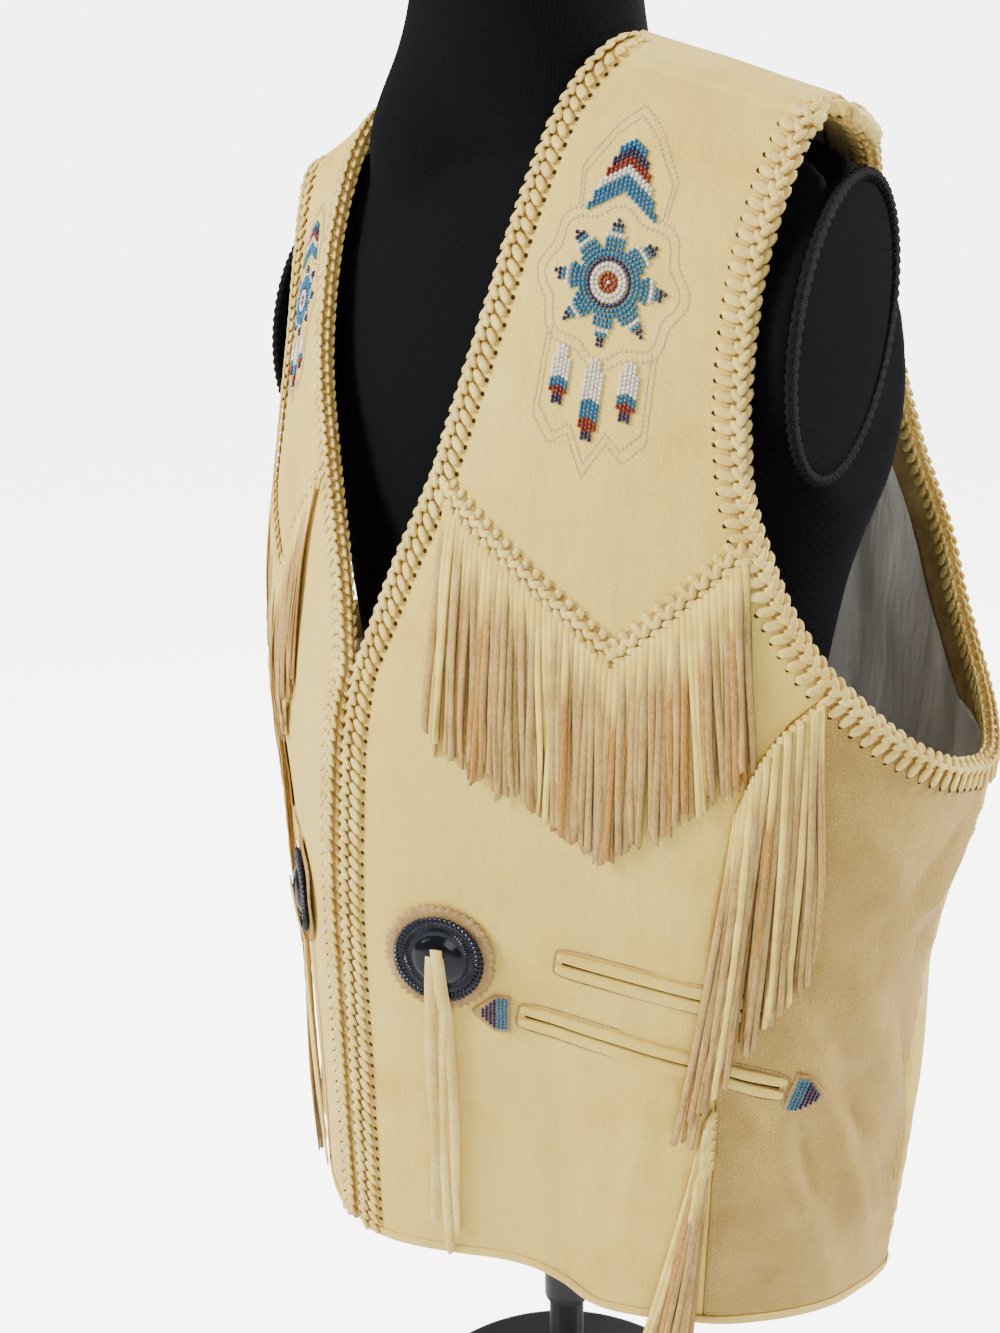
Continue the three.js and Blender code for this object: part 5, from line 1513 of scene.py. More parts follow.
def make_pockets(settings):
    for name, side in SIDES:
        lines = []
        for pocket, start, end in POCKETS:
            edge = Edge((start, end), side=side)
            for part, low, high in (("top", -7.6, -0.7), ("bottom", 0.7, 7.6)):
                middle, reach = (low + high) / 2, (high - low) / 2
                section = []
                for turn in np.linspace(0, 2 * np.pi, 12, endpoint=False):
                    c, s = math.cos(turn), math.sin(turn)
                    aside = middle + reach * np.sign(c) * abs(c) ** 0.5
                    section.append((aside, LEATHER + 1.25 + 1.25 * np.sign(s) * abs(s) ** 0.7))
                _, places, _, _, inward, _ = rim_frames(edge, 90, 0, 0, 3.0)
                gape = 0.8 * np.sin(np.linspace(0, np.pi, 90)) ** 2 * (1 if part == "bottom" else 0.15) - 0.35
                rings = np.stack([
                    on_vest(moved(places, inward * (d + np.sign(d) * gape * 0.6)[:, None]), lift)
                    for d, lift in section
                ], 1)
                ease = np.sin(np.linspace(0, np.pi, 90)) ** 0.12
                core = rings.mean(1, keepdims=True)
                rings = core + (rings - core) * np.maximum(ease, 0.35)[:, None, None]
                piece = tube_piece(f"{pocket}_welt_{part}_{name}", rings)
                give(piece, finish("cream_leather"), "leather", f"pocket_{pocket}_{part}_{name}")
            # The slit is a dark strip between the welts: painted shade in the pocket opening.
            low, high = LEATHER + 0.15, LEATHER + 0.45
            dark = ((-0.7, low), (0.7, low), (0.7, high), (-0.7, high))
            slit_shade = tube_piece(f"{pocket}_slit_{name}", strip_on(edge, dark, 90, 3, 3))
            give(slit_shade, finish("dark_hole"), "leather")
            t = np.linspace(0, 2 * np.pi, 240)
            c, s = np.cos(t), np.sin(t)
            across = edge.length / 2 + (edge.length / 2 + 1.4) * np.sign(c) * np.abs(c) ** 0.22
            depth = 9.0 * np.sign(s) * np.abs(s) ** 0.3
            within = np.clip(across, 0, edge.length)
            places, along, inward, _ = edge.frames(within)
            over = (across - within)[:, None]
            outline = moved(places, inward * depth[:, None] + along * over)
            line_piece(f"{pocket}_outline_{name}", outline, 0.55, "seam_line")
            lines.append((outline, LEATHER + 0.25))
        stitch_rows(f"pocket_stitches_{name}", lines, 2.6, 1.5)
        make_tabs(name, side, settings.bead_size)


def line_piece(name, places, width, look, lift=0.18):
    """A thin raised line that follows places on the cloth."""
    track = on_vest(places, LEATHER + lift)
    out = surface_frame(places)[2]
    along = unit(np.gradient(track, axis=0))
    level = unit(np.cross(out, along))
    section = ((-1, -0.3), (-0.6, 0.35), (0.6, 0.35), (1, -0.3))
    rings = np.stack([track + level * (width * a) + out * (width * b) for a, b in section], 1)
    return give(tube_piece(name, rings), finish(look), "lace")


TURQUOISE = colour(0, 112, 160)
NAVY = colour(18, 8, 84)
WHITE = colour(240, 238, 230)
RED = colour(134, 0, 16)


def bead_field(name, centre, spots, tints, size=1.0, lift=0.0):
    """Seed beads sewn to the cloth. `spots` are millimetres right and up of the centre place."""
    shape = small_shape("bead_shape", 1.9, 2.15, 2.0, 7, 4, 0.5)
    spots = np.asarray(spots, float)
    base = np.array(centre, float)[None].repeat(len(spots), 0)
    places = shifted(base, spots[:, 0], spots[:, 1])
    around, _, out = surface_frame(places)
    where = on_vest(places, LEATHER + 0.75 + lift)
    rng = np.random.default_rng(len(spots))
    stretch = 1 + rng.normal(0, 0.05, (len(spots), 3))
    tints = np.asarray(tints, float)
    tints[:, :3] *= 1 + rng.normal(0, 0.08, (len(spots), 1))
    tints = {"tint": np.clip(tints, 0, 1)}
    piece = repeated(name, shape, where, around, out, finish("bead_glass"), size, stretch, tints)
    drop(shape)
    return give(piece, None, "tab")


TAB_OUTLINE = ((0, -11), (9, -11), (21.5, -1), (21.5, 1), (9, 11), (0, 11))
TAB_STEPS = ((0.0, 3.0), (0.45, 2.95), (0.8, 2.85), (0.95, 2.6), (1.0, 2.1), (1.0, 1.3), (0.96, 1.0))


def make_tabs(name, side, bead_size):
    """The pointed tabs at the two ends of the lower pocket, with their beads."""
    _, start, end = POCKETS[1]
    plans = (
        ("front", (start[0] - 1.0, start[1] - 0.2), -1, 0),
        ("side", (end[0] + 0.6, end[1] - 0.8), 1, 16),
    )
    for label, place, out_sign, slant in plans:
        turn = math.radians(-slant * side) + (0 if out_sign * side > 0 else math.pi)
        outline = np.array([(x + 0.6, y) for x, y in TAB_OUTLINE])
        fine = []
        for a, b in zip(outline, np.roll(outline, -1, 0)):
            steps = max(2, int(np.linalg.norm(b - a) / 1.6))
            fine += [a + (b - a) * k / steps for k in range(steps)]
        fine = np.array(fine)
        middle = np.array([8.5, 0.0])
        rings = []
        for share, lift in TAB_STEPS:
            spots = middle + (fine - middle) * share
            spots = np.stack([
                spots[:, 0] * math.cos(turn) - spots[:, 1] * math.sin(turn),
                spots[:, 0] * math.sin(turn) + spots[:, 1] * math.cos(turn),
            ], -1)
            centre = np.array([place[0] * side, place[1]])[None].repeat(len(spots), 0)
            rings.append(on_vest(shifted(centre, spots[:, 0], spots[:, 1]), LEATHER + lift - 0.6))
        rings[0] = rings[0] * 0 + rings[0].mean(0) + (rings[1] - rings[1].mean(0)) * 0.02
        piece = tube_piece(f"pocket_tab_{label}_{name}", np.array(rings))
        give(piece, finish("tab_suede"), "tab", f"pocket_tab_{label}_{name}")
        beads, tints = [], []
        for column in range(7):
            x = 2.9 + 2.15 * column
            reach = 9.6 if x < 8 else 9.6 - (x - 8) * 0.92
            for y in np.arange(-reach, reach + 0.1, 1.95):
                beads.append((
                    x * math.cos(turn) - y * math.sin(turn), x * math.sin(turn) + y * math.cos(turn)
                ))
                tints.append(TURQUOISE if column < 3 else NAVY)
        centre = (place[0] * side, place[1])
        bead_field(f"tab_beads_{label}_{name}", centre, beads, tints, 0.95 * bead_size, 2.0)


def star_beads():
    """A generic eight-point star in rings, with stepped chevrons above and three drops below."""
    spots, tints = [], []
    bands = (
        RED, RED, WHITE, WHITE, NAVY, TURQUOISE, TURQUOISE, TURQUOISE, TURQUOISE, WHITE, TURQUOISE,
        NAVY, NAVY,
    )
    for ring, tint in enumerate(bands, 1):
        radius = 2.15 * ring - 0.6
        count = int(2 * np.pi * radius / 2.0)
        for k in range(count):
            turn = 2 * np.pi * k / count
            away = abs((turn / (np.pi / 4) + 0.5) % 1 - 0.5) * 2
            if ring > 7 and away > 1.04 - (ring - 7) / 6.4:
                continue
            spots.append((radius * math.sin(turn), radius * math.cos(turn)))
            tints.append(tint)
    spots.append((0, 0))
    tints.append(WHITE)
    for row in range(6):
        reach = 8 - row
        for k in range(-reach, reach + 1):
            for step in range(2):
                spots.append((k * 2.05, 41 + row * 4.1 + step * 2.0 - abs(k) * 1.35))
                tints.append((TURQUOISE, TURQUOISE, WHITE, RED, NAVY, TURQUOISE)[row])
    drop_bands = ((0.5, WHITE), (0.68, TURQUOISE), (0.84, RED), (1.0, NAVY))
    for across, beads in ((-17, 13), (0, 18), (17, 13)):
        for j in range(beads):
            half = 2 if 1 < j < beads - 3 else 1
            for i in range(-half, half + 1):
                spots.append((across + i * 1.95, -34 + 0.14 * abs(across) - j * 2.0 - abs(i) * 0.8))
                tints.append(next(tint for end, tint in drop_bands if j / beads < end))
    return spots, tints


def outline_stitch(name, side, centre, shapes):
    """Tone-on-tone outlines: a fine raised line with short cross stitches, given in millimetres."""
    base = np.array(centre)
    tick = small_shape("tick_shape", 2.4, 0.45, 0.45, 5, 4, 0.4)
    spots, ways, outs = [], [], []
    for count, shape in enumerate(shapes):
        shape = np.asarray(shape, float)
        gaps = np.linalg.norm(np.diff(shape, axis=0), axis=1)
        run = np.concatenate([[0], np.cumsum(gaps)])
        at = np.arange(0, run[-1], 0.9)
        fine = np.stack([np.interp(at, run, shape[:, k]) for k in range(2)], -1)
        places = shifted(base[None].repeat(len(fine), 0), fine[:, 0] * side, fine[:, 1])
        line_piece(f"{name}_line_{count}", places, 0.28, "thread", 0.2)
        chosen = places[1:-1:3]
        track = on_vest(places, LEATHER + 0.35)
        along = unit(np.gradient(track, axis=0))[1:-1:3]
        out = surface_frame(chosen)[2]
        spots.append(track[1:-1:3])
        ways.append(np.cross(out, along))
        outs.append(out)
    spots, ways, outs = (np.vstack(rows) for rows in (spots, ways, outs))
    piece = repeated(f"{name}_ticks", tick, spots, ways, outs, finish("thread"))
    drop(tick)
    give(piece, None, "lace")


ROOF_LINE = ((-20, 30), (-22, 46), (-10, 66), (0, 76), (10, 66), (22, 46), (20, 30))
TAIL_LINE = (
    (-25, -24), (-26, -60), (-17, -70), (-9, -64), (0, -80), (9, -64), (17, -70), (26, -60), (25, -24),
)


def make_beadwork(settings):
    for name, side in SIDES:
        centre = ((29.0 if side > 0 else 39.5) * side, 552.0)
        size = 1.08 if side > 0 else 0.76
        spots, tints = star_beads()
        spots = [(x * side * size, y * size) for x, y in spots]
        bead_field(f"yoke_beads_{name}", centre, spots, tints, size * settings.bead_size)
        t = np.linspace(0, 2 * np.pi, 300)
        rays = 4.2 * np.abs(np.cos(4 * t)) ** 2
        rings = []
        for reach in (29.5, 34.0):
            spread = (reach + rays) * size
            rings.append(np.stack([spread * np.sin(t), spread * np.cos(t)], -1))
        roof = np.array(ROOF_LINE, float) * size
        tail = np.array(TAIL_LINE)
        rings += [roof, roof * 1.1 + np.array([0, -2.0]), tail * size, tail * size * 1.1 + np.array([0, 2.0])]
        outline_stitch(f"yoke_stitch_{name}", side, centre, rings)


# ---- Concho and ties ----

CONCHO = (14.3, 195.0)
TIE_SECTION = ((-1, -0.3), (-0.85, 0.4), (0, 0.62), (0.85, 0.4), (1, -0.3), (0.8, -0.6), (-0.8, -0.6))


def round_piece(name, centre_place, steps, lift, shape, around):
    """A turned relief on the cloth: `shape(step, turn)` gives a ring's radius and height."""
    spot = on_vest(np.array([centre_place], float), lift)[0]
    across, _, out = surface_frame(np.array([centre_place], float))
    out = out[0]
    level = unit(across[0] - out * (across[0] @ out))
    rise = np.cross(out, level)
    turn = np.linspace(0, 2 * np.pi, around, endpoint=False)
    rings = []
    for step in steps:
        r, z = shape(step, turn)
        ring = spot + level * (r * np.cos(turn))[:, None] + rise * (r * np.sin(turn))[:, None]
        rings.append(ring + out * np.broadcast_to(z, turn.shape)[:, None])
    return tube_piece(name, np.array(rings))


def make_conchos(settings):
    def rosette(step, turn):
        radius, height = step
        tooth = 1.0 if radius < 27 else 1 + 0.032 * (np.abs((turn * 42 / (2 * np.pi)) % 1 - 0.5) * 4 - 1)
        curl = 0.5 * np.sin(turn * 5 + 1) * (radius / 31) ** 3
        return radius * tooth, height + curl

    def disc(step, turn):
        radius, height, kind = step
        r = np.full(turn.shape, radius)
        z = np.full(turn.shape, height)
        if kind == "rope":
            z = z + 0.45 * np.cos(turn * 56)
            r = r + 0.25 * np.sin(turn * 56)
        if kind == "flute":
            z = z + 0.7 * np.abs(np.cos(turn * 36)) - 0.35
        return r, z

    rosette_steps = (
        (0.3, 0.0), (14, 0.0), (24, 0.2), (28, 0.3), (30.6, 0.4), (31.0, 0.9), (30.6, 1.6), (28, 1.8),
        (24, 1.9), (12, 2.1), (0.3, 2.1),
    )
    disc_steps = (
        (0.3, 0.0, ""), (23.4, 0.0, ""), (24.9, 0.7, "rope"), (25.5, 1.6, "rope"), (24.7, 2.6, "rope"),
        (23.0, 2.9, "rope"), (21.4, 2.5, "rope"), (20.4, 1.9, ""), (19.6, 1.9, "flute"), (18.2, 2.7, "flute"),
        (16.4, 2.9, "flute"), (15.2, 2.4, ""), (14.6, 2.6, ""), (13.4, 3.9, ""), (10.6, 5.2, ""),
        (6.4, 6.0, ""), (3.2, 6.2, ""), (0.3, 6.25, ""),
    )
    for name, side in SIDES:
        centre = (CONCHO[0] * side, CONCHO[1])
        piece = round_piece(f"rosette_disc_{name}", centre, rosette_steps, LEATHER + 0.3, rosette, 168)
        give(piece, finish("tab_suede"), "tab", f"rosette_{name}")
        piece = round_piece(f"concho_disc_{name}", centre, disc_steps, LEATHER + 2.8, disc, 448)
        give(piece, finish("concho_metal"), "concho", f"concho_{name}")
        make_ties(name, side)


def make_ties(name, side):
    """The three thongs that hang over the concho: node, place aside, length, sway and start."""
    plans = (
        ("tie_1", -3.4, 146, -1.0, -2.4), ("tie_2", 0.6, 166, 2.0, 0.0), ("tie_3", 4.2, 154, 5.0, 2.4),
    )
    for node, aside, length, sway, start in plans:
        s = np.linspace(0, 1, 46)
        top = 0.0 if node != "tie_2" else -5.0
        fall = top + (31 + 1.5 + length - top) * s
        reach = np.clip(fall / 36, 0, 1)
        drift = (start + (aside - start) * reach**0.8 + sway * s) * side + 1.2 * np.sin(s * 7 + aside)
        centre = np.array([CONCHO[0] * side, CONCHO[1]])[None].repeat(len(s), 0)
        places = shifted(centre, drift, -fall + 4)
        over = np.clip((36 - fall) / 9, 0, 1)
        over = over * over * (3 - 2 * over)
        rest = 2.6 + 2.6 * np.sin(np.pi * s) + (0.9 if node == "tie_1" else 0)
        crown = 6.6 + 3.2 * np.clip(1 - fall / 26, 0, 1) ** 0.7 + 0.5 * (node == "tie_2")
        lift = rest * (1 - over) + over * crown
        track = on_vest(places, LEATHER + lift)
        out = surface_frame(places)[2]
        along = unit(np.gradient(track, axis=0))
        level = unit(np.cross(out, along))
        twist = (0.5 * np.sin(3 * s + aside) * s)[:, None]
        flat = unit(np.cross(along, level))
        flat = flat * np.sign((flat * out).sum(-1, keepdims=True))
        side_way = level * np.cos(twist) + flat * np.sin(twist)
        face = flat * np.cos(twist) - level * np.sin(twist)
        width = 6.8 * (1 - 0.2 * s)
        width[-1] *= 0.5
        rings = []
        for a, b in TIE_SECTION:
            rings.append(track + side_way * (width * a * 0.5)[:, None] + face * b)
        rings = np.stack(rings, 1)
        tone = np.full(rings.shape[:2], 0.15 if node == "tie_2" else 0.4)
        piece = tube_piece(f"{node}_thong_{name}", rings, {"tone": tone.reshape(-1)})
        give(piece, finish("lace_leather"), "lace", f"{node}_{name}")


# ---- Dress form and stand ----

# The arm plate: place (x, y, z), half depth, half height and lean in degrees
PLATE = (200.0, -22.0, 841.0, 40.0, 72.0, -14.0)
NECK_CENTRE_Y = -27.2


def lathe(name, profile, centre, around):
    turn = np.linspace(0, 2 * np.pi, around, endpoint=False)
    rings = []
    for radius, height in profile:
        rings.append(np.stack([
            centre[0] + max(radius, 0.05) * np.cos(turn), centre[1] + max(radius, 0.05) * np.sin(turn),
            np.full(around, centre[2] + height),
        ], -1))
    return tube_piece(name, np.array(rings))


def rounded(profile, cut):
    """A turned profile with its corners cut back into small rounds."""
    rows = [np.array(profile[0], float)]
    for a, b, c in zip(profile, profile[1:], profile[2:]):
        a, b, c = (np.array(p, float) for p in (a, b, c))
        before, after = a - b, c - b
        near = min(cut, np.linalg.norm(before) * 0.45, np.linalg.norm(after) * 0.45)
        start, end = b + before / np.linalg.norm(before) * near, b + after / np.linalg.norm(after) * near
        rows += [start, start * 0.25 + b * 0.5 + end * 0.25, end]
    rows.append(np.array(profile[-1], float))
    return rows


def neck_rise():
    """The neck column, which swells out into the shoulders: steeply on the left, wider on the right."""
    rows = (
        (575, 24, 74, 104), (595, 34, 78, 112), (612, 42, 80, 114), (628, 48, 80, 112), (642, 53, 77, 105),
        (654, 56.5, 74, 96), (668, 59, 70, 84), (684, 60.5, 65, 73), (700, 61, 62, 65),
        (716, 60.5, 60.5, 61.5), (740, 60, 60, 60), (749, 58.5, 58.5, 58.5), (752.5, 54, 54, 54),
        (753.5, 30, 30, 30),
    )
    turn = np.linspace(0, 2 * np.pi, 96, endpoint=False)
    right = np.clip(-np.cos(turn), 0, 1) ** 2.6
    left = np.clip(np.cos(turn), 0, 1) ** 2.6
    rings = []
    for height, radius, near, far in rows:
        reach = radius + (near - radius) * left + (far - radius) * right
        rings.append(np.stack([
            reach * np.cos(turn), NECK_CENTRE_Y + reach * np.sin(turn), np.full(96, HEM_ABOVE_FLOOR + height),
        ], -1))
    return tube_piece("neck", np.array(rings))


def plate_ring(x, share, count=72):
    """A ring of points across the shoulder end, at a share of the arm plate's size."""
    _, y, z, half_depth, half_height, lean = PLATE
    turn = np.linspace(0, 2 * np.pi, count, endpoint=False)
    lean = math.radians(lean)
    v, w = half_depth * share * np.cos(turn), half_height * share * np.sin(turn)
    return np.stack([
        np.full(count, x), y + v * math.cos(lean) - w * math.sin(lean),
        z + v * math.sin(lean) + w * math.cos(lean),
    ], -1)


def arm_stump(name, side):
    """The padded shoulder end under a plate. The form has no arms."""
    steps = ((110, 0.6), (150, 0.86), (178, 0.93), (196, 0.95), (198, 0.9))
    rings = [plate_ring(side * reach, share) for reach, share in steps]
    return tube_piece(f"arm_stump_{name}", np.array(rings))


def make_form(settings):
    shell = body_shell(FORM_SECTIONS, 648, 194)
    heights = np.concatenate([np.linspace(-14, 600, 90), np.linspace(606, 644, 14)])
    angles = np.linspace(0, 360, 120, endpoint=False)
    grid = np.stack(np.meshgrid(angles, heights), -1)
    torso = tube_piece("torso", shell(grid))
    neck = neck_rise()
    stumps = [arm_stump(name, side) for name, side in SIDES]
    body = merged("form_body", [torso, neck] + stumps)
    remesh = body.modifiers.new("Remesh", "REMESH")
    remesh.mode = "VOXEL"
    remesh.voxel_size = settings.form_voxel
    smooth = body.modifiers.new("Smooth", "SMOOTH")
    smooth.iterations = 7
    smooth.factor = 0.5
    graph = bpy.context.evaluated_depsgraph_get()
    result = bpy.data.meshes.new_from_object(body.evaluated_get(graph))
    body.modifiers.clear()
    body.data = result
    result.name = "form_body"
    result.polygons.foreach_set("use_smooth", np.ones(len(result.polygons), bool))
    give(body, finish("jersey"), "jersey", "dress_form")
    for name, side in SIDES:
        make_arm_plate(name, side)
    for name, side in SIDES:
        make_neck_trim(name, side)
    make_neck_ring()


def rope_ring(name, track, radius, look, slot, closed=True, strands=16):
    """A braided round trim along a path."""
    count = len(track)
    along = unit(np.roll(track, -1, 0) - np.roll(track, 1, 0)) if closed else unit(np.gradient(track, axis=0))
    guide = unit(track - track.mean(0))
    side = unit(np.cross(along, guide))
    guide = np.cross(side, along)
    turn = np.linspace(0, 2 * np.pi, 10, endpoint=False)
    step = np.arange(count)[:, None]
    swell = radius * (1 + 0.16 * np.cos(turn[None] * 2 - step * (2 * np.pi / strands) * 2))
    rings = track[:, None] + guide[:, None] * (swell * np.cos(turn))[..., None]
    rings = rings + side[:, None] * (swell * np.sin(turn))[..., None]
    return give(tube_piece(name, rings, closed=closed), finish(look), slot)


def make_arm_plate(name, side):
    x = PLATE[0]
    steps = (
        (0.01, -2.5), (0.9, -2.5), (0.985, -1.6), (1.0, 0.0), (0.985, 1.6), (0.9, 2.4), (0.6, 3.0),
        (0.01, 3.2),
    )
    rings = [plate_ring(side * (x + out), share) for share, out in steps]
    piece = tube_piece(f"arm_plate_cloth_{name}", np.array(rings))
    give(piece, finish("jersey"), "jersey", f"arm_plate_{name}")
    track = plate_ring(side * (x + 1.4), 0.985, 360)
    rope_ring(f"arm_plate_trim_{name}", track, 2.9, "gimp", "jersey", strands=9)


def make_neck_trim(name, side):
    heights = np.linspace(676, 746, 70)
    x = np.full(70, side * 61.4) + side * (700 - heights) * 0.01
    track = np.stack([x, np.full(70, NECK_CENTRE_Y), HEM_ABOVE_FLOOR + heights], -1)
    rope_ring(f"neck_seam_trim_{name}", track, 1.3, "gimp", "jersey", closed=False, strands=9)


def make_neck_ring():
    turn = np.linspace(0, 2 * np.pi, 300, endpoint=False)
    top = np.full(300, HEM_ABOVE_FLOOR + 750.0)
    track = np.stack([58.6 * np.cos(turn), NECK_CENTRE_Y + 58.6 * np.sin(turn), top], -1)
    rope_ring("neck_top_trim", track, 1.9, "gimp", "jersey", strands=9)


def make_stand(settings):
    base = ((0, 0), (139, 0), (140, 1.5), (140, 7), (136, 10), (60, 12.4), (24, 13.4), (0, 14))
    piece = lathe("stand_foot", rounded(base, 1.6), (0, 0, 0), 128)
    give(piece, finish("stand_metal"), "stand", "stand_base")
    pole = (
        (0, 14.2), (23, 14.2), (24, 15.5), (24, 20), (20, 26), (14, 30), (12.5, 34), (12.5, 150), (16, 152),
        (16, 176), (12.5, 178), (12.5, 302), (0, 305.6),
    )
    piece = lathe("stand_tube", rounded(pole, 1.0), (0, 0, 0), 64)
    give(piece, finish("stand_metal"), "stand", "stand_pole")


# ---- Stage ----


def make_stage(settings):
    scene = bpy.context.scene
    turn = np.linspace(0, 2 * np.pi, 96, endpoint=False)
    rings = [
        np.stack([r * np.cos(turn), r * np.sin(turn), np.zeros(96)], -1) for r in (10, 2500, 6000, 14000)
    ]
    quads = grid_faces(4, 96, wrap=True)
    floor = object_from("studio_floor", np.array(rings), [quads, np.arange(96)[::-1][None]])
    if floor.data.polygons[0].normal.z < 0:
        floor.data.flip_normals()
    floor.data.materials.append(finish("pale_floor"))
    world = bpy.data.worlds.new("studio")
    world.use_nodes = True
    nodes, links = world.node_tree.nodes, world.node_tree.links
    sky = nodes["Background"]
    sky.inputs[0].default_value = (0.97, 0.98, 1.0, 1)
    seen = nodes.new("ShaderNodeLightPath")
    strength = nodes.new("ShaderNodeMath")
    strength.operation = "MULTIPLY_ADD"
    strength.inputs[1].default_value = 5.3
    strength.inputs[2].default_value = settings.room_light
    links.new(seen.outputs["Is Camera Ray"], strength.inputs[0])
    links.new(strength.outputs[0], sky.inputs[1])
    scene.world = world
    lights = (
        ("key", (-1.5, -2.4, 2.2), 1.3, settings.key_power, (1.0, 0.97, 0.92)),
        ("fill", (2.3, -1.9, 1.7), 1.6, settings.fill_power * 0.9, (0.95, 0.97, 1.0)),
        ("side", (1.5, 1.5, 1.9), 0.5, settings.fill_power * 2.8, (1, 0.99, 0.96)),
        ("top", (0.2, 0.4, 3.2), 2.0, settings.fill_power, (1, 1, 1)),
        ("rear", (-0.6, 2.8, 1.9), 2.0, settings.fill_power * 1.3, (1, 1, 1)),
    )
    for name, spot, size, power, tint in lights:
        light = bpy.data.lights.new(name, "AREA")
        light.shape = "DISK"
        light.size = size
        light.energy = power
        light.color = tint
        lamp = bpy.data.objects.new(name, light)
        scene.collection.objects.link(lamp)
        lamp.location = spot
        aim = Vector((0, 0, 0.75)) - Vector(spot)
        lamp.rotation_euler = aim.to_track_quat("-Z", "Y").to_euler()
    make_camera(scene)


# The camera's place round the vest, its distance and its height in millimetres, and where it looks
CAMERA_PLACE = (0.7427587422544537, 803.5524784893081, 544.995316201456)
CAMERA_AIM = (0.28559561810015194, 0.06324952424209047, -0.017879139434726486)
FOCAL_LENGTH = 1306.0625837685172
PICTURE_HEIGHT = 1333
SENSOR = 36


def make_camera(scene):
    turn, distance, height = CAMERA_PLACE
    pitch, yaw, roll = CAMERA_AIM
    spot = Vector((
        distance * math.sin(turn), -distance * math.cos(turn) + DEPTH_SHIFT, height + HEM_ABOVE_FLOOR
    )) / 1000
    heading = turn + yaw
    forward = Vector((
        -math.sin(heading) * math.cos(pitch), math.cos(heading) * math.cos(pitch), -math.sin(pitch)
    ))
    right = Vector((math.cos(heading), math.sin(heading), 0))
    up = right.cross(forward)
    level = right * math.cos(roll) + up * math.sin(roll)
    upright = up * math.cos(roll) - right * math.sin(roll)
    lens = bpy.data.cameras.new("studio_camera")
    lens.sensor_fit = "VERTICAL"
    lens.sensor_height = SENSOR
    lens.sensor_width = SENSOR
    lens.lens = FOCAL_LENGTH * SENSOR / PICTURE_HEIGHT
    camera = bpy.data.objects.new("studio_camera", lens)
    axes = Matrix((level, upright, -forward)).transposed().to_4x4()
    camera.matrix_world = Matrix.Translation(spot) @ axes
    scene.collection.objects.link(camera)
    scene.camera = camera


# ---- Add-on ----


class VestSettings(bpy.types.PropertyGroup):
    """Sizes that shape the vest's looks."""

    lace_pitch: FloatProperty(
        name="Lace pitch", description="Distance between the loops of the laced edges",
        default=0.0070, unit="LENGTH",
    )
    braid_pitch: FloatProperty(
        name="Braid pitch", description="Distance between the crossings of the yoke braid",
        default=0.0070, unit="LENGTH",
    )
    strip_width: FloatProperty(
        name="Strip width", description="Width of a cut strip of the fringes", default=0.0043, unit="LENGTH"
    )
    strip_pitch: FloatProperty(
        name="Strip pitch", description="Distance between the yoke fringe's strips",
        default=0.00373, unit="LENGTH",
    )
    yoke_fringe_length: FloatProperty(
        name="Yoke fringe length", description="Length of the strips below the yoke",
        default=0.103, unit="LENGTH",
    )
    bead_size: FloatProperty(
        name="Bead size", description="Size of a seed bead against the usual one",
        default=1.0, subtype="FACTOR",
    )
    stitch_pitch: FloatProperty(
        name="Stitch pitch", description="Distance between the stitches of a seam",
        default=0.0031, unit="LENGTH",
    )
    lining_fullness: FloatProperty(
        name="Lining fullness", description="Depth of the lining's soft folds", default=0.0026, unit="LENGTH"
    )
    form_voxel: FloatProperty(
        name="Form detail", description="Grain of the padded form's surface", default=0.0045, unit="LENGTH"
    )
    key_power: FloatProperty(
        name="Key light", description="Power of the main soft light", default=165.0, unit="POWER"
    )
    fill_power: FloatProperty(
        name="Fill light", description="Power of the other soft lights", default=26.0, unit="POWER"
    )
    room_light: FloatProperty(
        name="Room light", description="Strength of the light from all round", default=0.42, subtype="FACTOR"
    )


class Maker:
    """Runs the function that builds one group of pieces."""

    bl_options = {"REGISTER", "UNDO"}

    def execute(self, context):
        self.make(context.scene.vest)
        return {"FINISHED"}


class VEST_OT_panels(Maker, bpy.types.Operator):
    """Cut the leather panels and hang them in their folds"""

    bl_idname = "vest.panels"
    bl_label = "Panels"
    make = staticmethod(make_panels)


class VEST_OT_lining(Maker, bpy.types.Operator):
    """Hang the satin lining in soft folds"""

    bl_idname = "vest.lining"
    bl_label = "Lining"
    make = staticmethod(make_lining)


class VEST_OT_facings(Maker, bpy.types.Operator):
    """Add the suede facings inside the edges"""

    bl_idname = "vest.facings"
    bl_label = "Facings"
    make = staticmethod(make_facings)


class VEST_OT_hems(Maker, bpy.types.Operator):
    """Turn the hem"""

    bl_idname = "vest.hems"
    bl_label = "Hems"
    make = staticmethod(make_hems)


class VEST_OT_lacing(Maker, bpy.types.Operator):
    """Lace the front, neck and armhole edges"""

    bl_idname = "vest.lacing"
    bl_label = "Laced edges"
    make = staticmethod(make_lacing)


class VEST_OT_braids(Maker, bpy.types.Operator):
    """Braid the yoke lines"""

    bl_idname = "vest.braids"
    bl_label = "Yoke braids"
    make = staticmethod(make_braids)


class VEST_OT_fringes(Maker, bpy.types.Operator):
    """Cut and hang the fringes"""

    bl_idname = "vest.fringes"
    bl_label = "Fringes"
    make = staticmethod(make_fringes)


class VEST_OT_pockets(Maker, bpy.types.Operator):
    """Add the pocket welts and their beaded tabs"""

    bl_idname = "vest.pockets"
    bl_label = "Pockets"
    make = staticmethod(make_pockets)


class VEST_OT_stitching(Maker, bpy.types.Operator):
    """Stitch the seams and the hem"""

    bl_idname = "vest.stitching"
    bl_label = "Stitching"
    make = staticmethod(make_stitching)


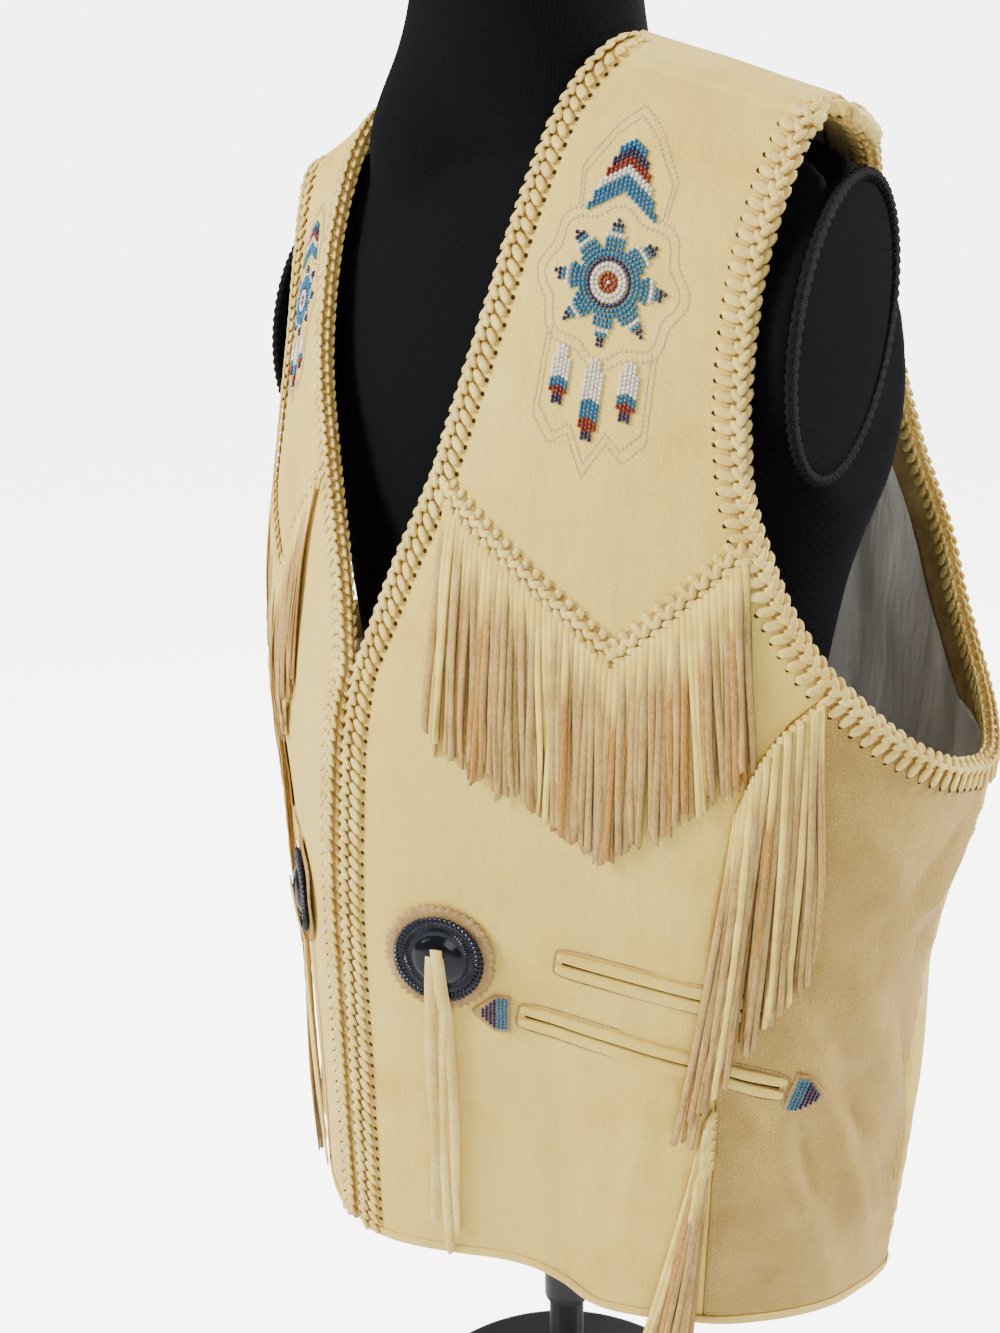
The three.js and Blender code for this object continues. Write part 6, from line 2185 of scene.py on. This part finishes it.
class VEST_OT_beadwork(Maker, bpy.types.Operator):
    """Sew the beads and the outline stitches on the yokes"""

    bl_idname = "vest.beadwork"
    bl_label = "Beadwork"
    make = staticmethod(make_beadwork)


class VEST_OT_conchos(Maker, bpy.types.Operator):
    """Add the rosettes, the conchos and their thong ties"""

    bl_idname = "vest.conchos"
    bl_label = "Conchos"
    make = staticmethod(make_conchos)


class VEST_OT_form(Maker, bpy.types.Operator):
    """Build the padded dress form, its arm plates and trims"""

    bl_idname = "vest.form"
    bl_label = "Dress form"
    make = staticmethod(make_form)


class VEST_OT_stand(Maker, bpy.types.Operator):
    """Turn the pole and the foot"""

    bl_idname = "vest.stand"
    bl_label = "Stand"
    make = staticmethod(make_stand)


class VEST_OT_stage(Maker, bpy.types.Operator):
    """Set the floor, the lights and the camera"""

    bl_idname = "vest.stage"
    bl_label = "Stage"
    make = staticmethod(make_stage)


OPERATORS = (
    VEST_OT_panels, VEST_OT_lining, VEST_OT_facings, VEST_OT_hems, VEST_OT_lacing, VEST_OT_braids,
    VEST_OT_fringes, VEST_OT_pockets, VEST_OT_stitching, VEST_OT_beadwork, VEST_OT_conchos,
    VEST_OT_form, VEST_OT_stand, VEST_OT_stage,
)


class VEST_PT_sidebar(bpy.types.Panel):
    """The vest's sizes and building steps"""

    bl_label = "Vest"
    bl_space_type = "VIEW_3D"
    bl_region_type = "UI"
    bl_category = "Vest"

    def draw(self, context):
        column = self.layout.column()
        for key in VestSettings.__annotations__:
            column.prop(context.scene.vest, key)
        for operator in OPERATORS:
            column.operator(operator.bl_idname)


def register():
    for kind in (VestSettings, *OPERATORS, VEST_PT_sidebar):
        bpy.utils.register_class(kind)
    bpy.types.Scene.vest = PointerProperty(type=VestSettings)


def unregister():
    del bpy.types.Scene.vest
    for kind in (VEST_PT_sidebar, *reversed(OPERATORS), VestSettings):
        bpy.utils.unregister_class(kind)


def main():
    register()
    for operator in OPERATORS:
        group, step = operator.bl_idname.split(".")
        getattr(getattr(bpy.ops, group), step)()
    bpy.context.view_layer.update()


if __name__ == "__main__":
    main()
